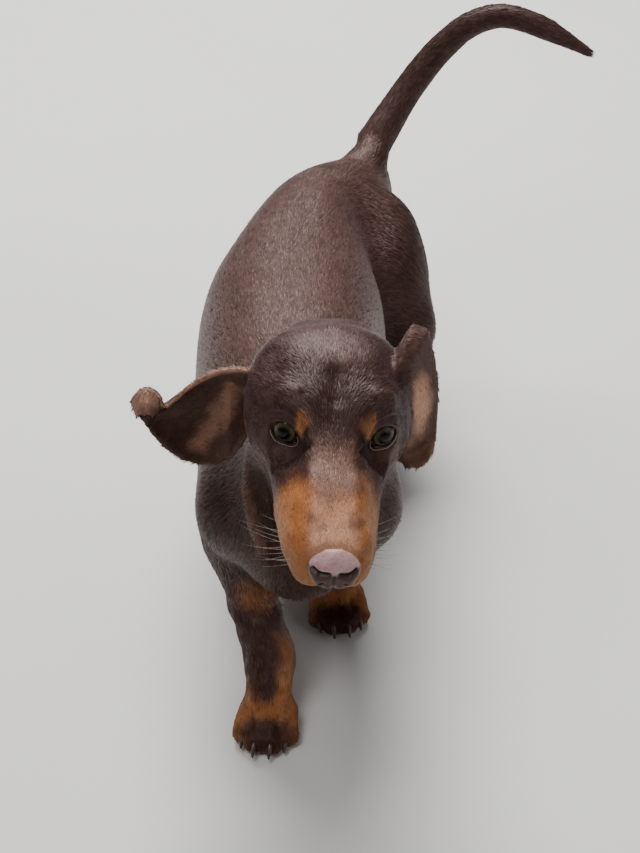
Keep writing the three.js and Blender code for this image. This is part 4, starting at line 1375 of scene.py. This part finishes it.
# %% Lid margins
def tube(name, path, radius, sides=8, closed=False):
    """A round bar along a path in metres, made from a curve and turned into a mesh."""
    curve = bpy.data.curves.new(name, "CURVE")
    curve.dimensions = "3D"
    spline = curve.splines.new("POLY")
    spline.points.add(len(path) - 1)
    for i, (point, place) in enumerate(zip(spline.points, path)):
        point.co = (*place, 1)
        point.radius = 1 if np.isscalar(radius) else radius[i] / max(radius)
    spline.use_cyclic_u = closed
    curve.bevel_depth = radius if np.isscalar(radius) else max(radius)
    curve.bevel_resolution = sides // 4
    curve.use_fill_caps = not closed
    held = in_scene(name + "_curve", curve)
    bpy.context.view_layer.update()
    mesh = bpy.data.meshes.new_from_object(held.evaluated_get(bpy.context.evaluated_depsgraph_get()))
    bpy.data.objects.remove(held)
    return mesh


def almond_edge(count, radius, stretch=1.0, start=0.0, end=1.0):
    """Points on the almond's edge, in millimetres in the eye's frame, on a ball of the given radius."""
    turns = np.linspace(start, end, count, endpoint=start != 0.0 or end != 1.0) * 2 * np.pi
    rays = np.column_stack([np.cos(turns), np.sin(turns)])
    reach = np.full(count, LID_WIDTH / 2)
    for _ in range(12):
        reach = reach / almond(rays[:, 0] * reach, rays[:, 1] * reach)
    flat = rays * (reach * stretch)[:, None]
    return np.column_stack([flat[:, 0], -np.sqrt(radius**2 - (flat**2).sum(1)), flat[:, 1]])


def on_lids(local, side):
    """The same points, lifted along the line of sight onto the skin around the eye."""
    near = in_eye(read_points(skin.data), side)
    near = near[(openness_of(near) < 2) & (np.linalg.norm(near, axis=1) < 20)]
    for point in local:
        closest = np.argsort(np.hypot(*(near - point)[:, [0, 2]].T))[:6]
        point[1] = near[closest, 1].min() - 0.1
    return local


def lid_material(name, dark, light):
    """Bare wet skin: smooth and dark, with a fine mottle."""
    material, tree, shader = new_material(name)
    mottle = noise_of(tree, object_place(tree), 1.2)
    colour = mixed(tree, mottle, linear(dark), linear(light))
    finish_shader(tree, shader, colour, Roughness=0.28, IOR=1.4, Coat_Weight=0.4, Coat_Roughness=0.1)
    return material


lid_black = lid_material("bare_lid_margin", "#140c0b", "#2a1a18")
lid_pink = lid_material("pink_lower_lid", "#7d605b", "#a0807a")
for name, side in SIDES.items():
    edge = out_of_eye(almond_edge(48, EYE_RADIUS + 0.75), side)
    margin = tube("lid_margin_" + name, edge, 0.6 * MM, closed=True)
    low = out_of_eye(on_lids(almond_edge(28, EYE_RADIUS + 1.4, 1.03, 0.5, 0.98), side), side)
    thread = tube("lower_lid_" + name, low, 0.26 * MM)
    for mesh, material in ((margin, lid_black), (thread, lid_pink)):
        piece = in_scene(mesh.name, mesh)
        dress(piece, material)
        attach(piece, "root")
        print(piece.name, len(mesh.vertices), "vertices")

# %% [markdown]
# Nose leather
#
# The bare tip of the nose is a pad of pebbled skin, liver pink on a chocolate dog, with a round
# nostril each side that runs out into a slit, and a groove down the middle. The CAD solid gives its
# place and size. A copy is remeshed finely, smoothed, and carved.

# %% Nose leather
NOSE_VOXEL = 0.75 * MM
PAD_FOOT = -23  # below this height the pad is drawn up
NOSE_STROKES = [
    # path, width, height
    ([(3.5, -105, -10.5), (8, -104, -11.2), (12.5, -101, -10)], 1.5, -2.6),  # nostril and its slit
    ([(5, -105, -6.5), (10, -102, -6), (13, -98, -7)], 2.6, 0.7),  # roof of the nostril
    ([(4.5, -105, -19), (9.5, -102, -17.5)], 3.6, 2.0),  # wing below it
]
NOSE_GROOVE = ([(0, -106, -12), (0, -105, -20), (0, -100, -32)], 1.1, -1.5)

nose = new_object("nose_leather", mesh_copy(["nose"], 0.4 * MM))
voxel_remesh(nose, NOSE_VOXEL)
points = read_points(nose.data)
edges = read_edges(nose.data)
points = relax(points, edges, 40, np.ones(len(points)))
write_points(nose.data, points)
h = to_head(points)
front = smoothstep(-92, -99, h[:, 1])
carving = lift_of(h, on_both_sides(NOSE_STROKES) + [NOSE_GROOVE], fade=0)
outward = to_head(points + read_normals(nose.data) * MM) - h
outward = outward * 0.5 + np.array([0, -1, 0]) * 0.5
h = h + outward * (carving * front)[:, None]
h[:, 0] *= pad_width(h[:, 2])
h[:, 2] = np.where(h[:, 2] < PAD_FOOT, PAD_FOOT + 0.4 * (h[:, 2] - PAD_FOOT), h[:, 2])
write_points(nose.data, relax(from_head(h), edges, 2, np.ones(len(h))))


def nose_material():
    """Pebbled bare skin, a little moist: small round cells with a dark line between them, and painted
    shade in the nostrils and on the pad's underside.
    """
    material, tree, shader = new_material("moist_nose_leather")
    place = object_place(tree)
    cells = {"feature": "DISTANCE_TO_EDGE"}
    pebbles = add_node(tree, "ShaderNodeTexVoronoi", cells, {"Vector": place}, Scale=1 / (0.9 * MM))
    edge = pebbles.outputs["Distance"]
    slit_shade, underside_shade, at_rim = amounts_of(tree, "Zones")
    colour = mottled(tree, noise_of(tree, place, 5), 0.35, 0.65, "#ae8486", "#c09a9c")
    colour = mixed(tree, ramp(tree, edge, 0.10, 0.0), colour, linear("#86605f"))
    colour = mixed(tree, underside_shade, colour, linear("#4b302b"))
    colour = mixed(tree, at_rim, colour, linear("#a4786a"))
    colour = mixed(tree, slit_shade, colour, linear("#140a09"))
    gloss = {"Roughness": 0.46, "Specular_IOR_Level": 0.35}
    wet = {"Coat_Weight": 0.06, "Coat_Roughness": 0.25}
    finish_shader(tree, shader, colour, relief=(edge, 0.35, 0.25), **gloss, **wet)
    return material


# Painted shade: near black in the carved nostrils, darker over the lower part of the pad
slit = np.clip(-carving * front / 1.8, 0, 1)
under = smoothstep(-9, -12, h[:, 2])
rim = smoothstep(-97, -92, h[:, 1]) * smoothstep(-16, -8, h[:, 2])
write_marks(nose.data, np.column_stack([slit, under, rim]), "Zones")
dress(nose, nose_material())
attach(nose, "root")
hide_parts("nose")
print("nose leather", len(nose.data.vertices), "vertices")

# %% [markdown]
# Whiskers and lashes
#
# The whiskers are stiff hairs set deep in rows along the lips, paler than the coat, and each curves
# back and a little down. A tapered tube a third of a millimetre thick is about what the eye sees.

# %% Whiskers and lashes
BRISTLE_RADIUS = 0.14  # mm, at the root
WHISKER_ROWS = (-20, -25, -30)  # heights in the head's frame


def bristles(name, hairs, material):
    """Tapered hairs as one piece; each is a start, a direction, a length and the way it droops."""
    joined = bmesh.new()
    share = np.linspace(0, 1, 7)[:, None]
    radii = list(BRISTLE_RADIUS * MM * (1.05 - share[:, 0]))
    for start, direction, length, droop in hairs:
        direction = direction / np.linalg.norm(direction)
        path = start + direction * length * share + np.array(droop) * length * share**2
        held = tube(name, from_head(path), radii, sides=4)
        joined.from_mesh(held)
        bpy.data.meshes.remove(held)
    piece = new_object(name, joined)
    dress(piece, material)
    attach(piece, "root")
    print(name, len(hairs))


def bristle_material(name, dark, light):
    """A stiff hair: horn, smooth and slightly shiny."""
    material, tree, shader = new_material(name)
    tone = noise_of(tree, object_place(tree), 6)
    finish_shader(tree, shader, mottled(tree, tone, 0.3, 0.7, dark, light), Roughness=0.35, IOR=1.54)
    return material


whiskers = []
for side in both:
    for row, z in enumerate(WHISKER_ROWS):
        for y in np.arange(-86 + 2 * row, -58, 6.5):
            outward = 20.5 + 0.16 * (y + 86) + (1.5 if row else 0)
            start = np.array([outward * side - 2.2, y, z])
            direction = np.array([0.85 * side, 0.15 + 0.02 * (y + 80), -0.25 - 0.12 * row])
            direction += rng.normal(0, 0.12, 3)
            whiskers.append((start, direction, rng.uniform(16, 34), (-0.05 * side, 0.35, -0.25)))
bristles("whiskers", whiskers, bristle_material("pale_whisker_horn", "#6b5a50", "#b8aa9c"))

lashes = []
for side in both:
    for point in almond_edge(15, EYE_RADIUS + 1.3, 1.06, 0.06, 0.44):
        ends = np.array([point, point * [1.25, 1.25, 1.45]])
        start, tip = to_head(out_of_eye(ends, side))
        lashes.append((start, tip - start, rng.uniform(2.2, 3.6), (0.1 * side, -0.1, 0.2)))
bristles("eyelashes", lashes, bristle_material("dark_lash_hair", "#140b0a", "#2a1814"))

# %% [markdown]
# Claws
#
# Sixteen curved claws of dark horn, paler towards the quick. The CAD solids have the right curve, so
# a copy of them is rounded with a subdivision surface.

# %% Claws
claw_nodes = sorted(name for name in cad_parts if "_claw_" in name)
claws = new_object("claws", mesh_copy(claw_nodes))
rounding = claws.modifiers.new("rounding", "SUBSURF")
rounding.levels = rounding.render_levels = 2
apply_modifiers(claws)


def claw_material():
    """Horn: grown in layers, so it is smooth across and faintly ridged along, and shines softly."""
    material, tree, shader = new_material("dark_claw_horn")
    streaks = noise_of(tree, object_place(tree), 2.5, detail=2)
    colour = mottled(tree, streaks, 0.35, 0.65, "#2a1d1a", "#4a3730")
    finish_shader(tree, shader, colour, relief=(streaks, 0.3, 0.15), Roughness=0.35, IOR=1.54)
    return material


dress(claws, claw_material())
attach(claws, "root")
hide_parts(*claw_nodes)
print("claws", len(claw_nodes))

# %% [markdown]
# Floor and light
#
# A plain pale floor, and large soft lamps: a strong one high behind the dog, which gives the rim of
# light along the head and back, a weaker one above the camera, and a faint fill from the dog's left.

# %% Floor and light
def floor_material():
    """Matt painted board, with the slightest change of tone."""
    material, tree, shader = new_material("pale_matt_floor")
    tone = noise_of(tree, object_place(tree), 300, detail=2)
    colour = mixed(tree, tone, linear("#d9d8d4"), linear("#e2e1dd"))
    finish_shader(tree, shader, colour, Roughness=0.9)
    return material


bm = bmesh.new()
bmesh.ops.create_grid(bm, x_segments=1, y_segments=1, size=6)
floor = new_object("floor", bm)
floor.data.materials.append(floor_material())


def lamp(name, place, target, size, watts):
    data = bpy.data.lights.new(name, "AREA")
    data.shape = "DISK"
    data.size = size
    data.energy = watts
    made = in_scene(name, data)
    made.location = place
    made.rotation_euler = (Vector(target) - Vector(place)).to_track_quat("-Z", "Y").to_euler()
    print(name, watts, "W")


lamp("top_light", (-0.25, 1.3, 2.0), (0, 0, 0.15), 1.5, 98)
lamp("key_light", (-0.7, -1.1, 2.3), (0, -0.1, 0.15), 1.1, 24)
lamp("fill_light", (1.6, -0.8, 1.0), (0, 0, 0.15), 1.6, 5)
world = bpy.data.worlds.new("soft_room")
world.use_nodes = True
set_sockets(world.node_tree.nodes["Background"], {"Color": (0.98, 0.98, 1.0, 1), "Strength": 0.16})
bpy.context.scene.world = world
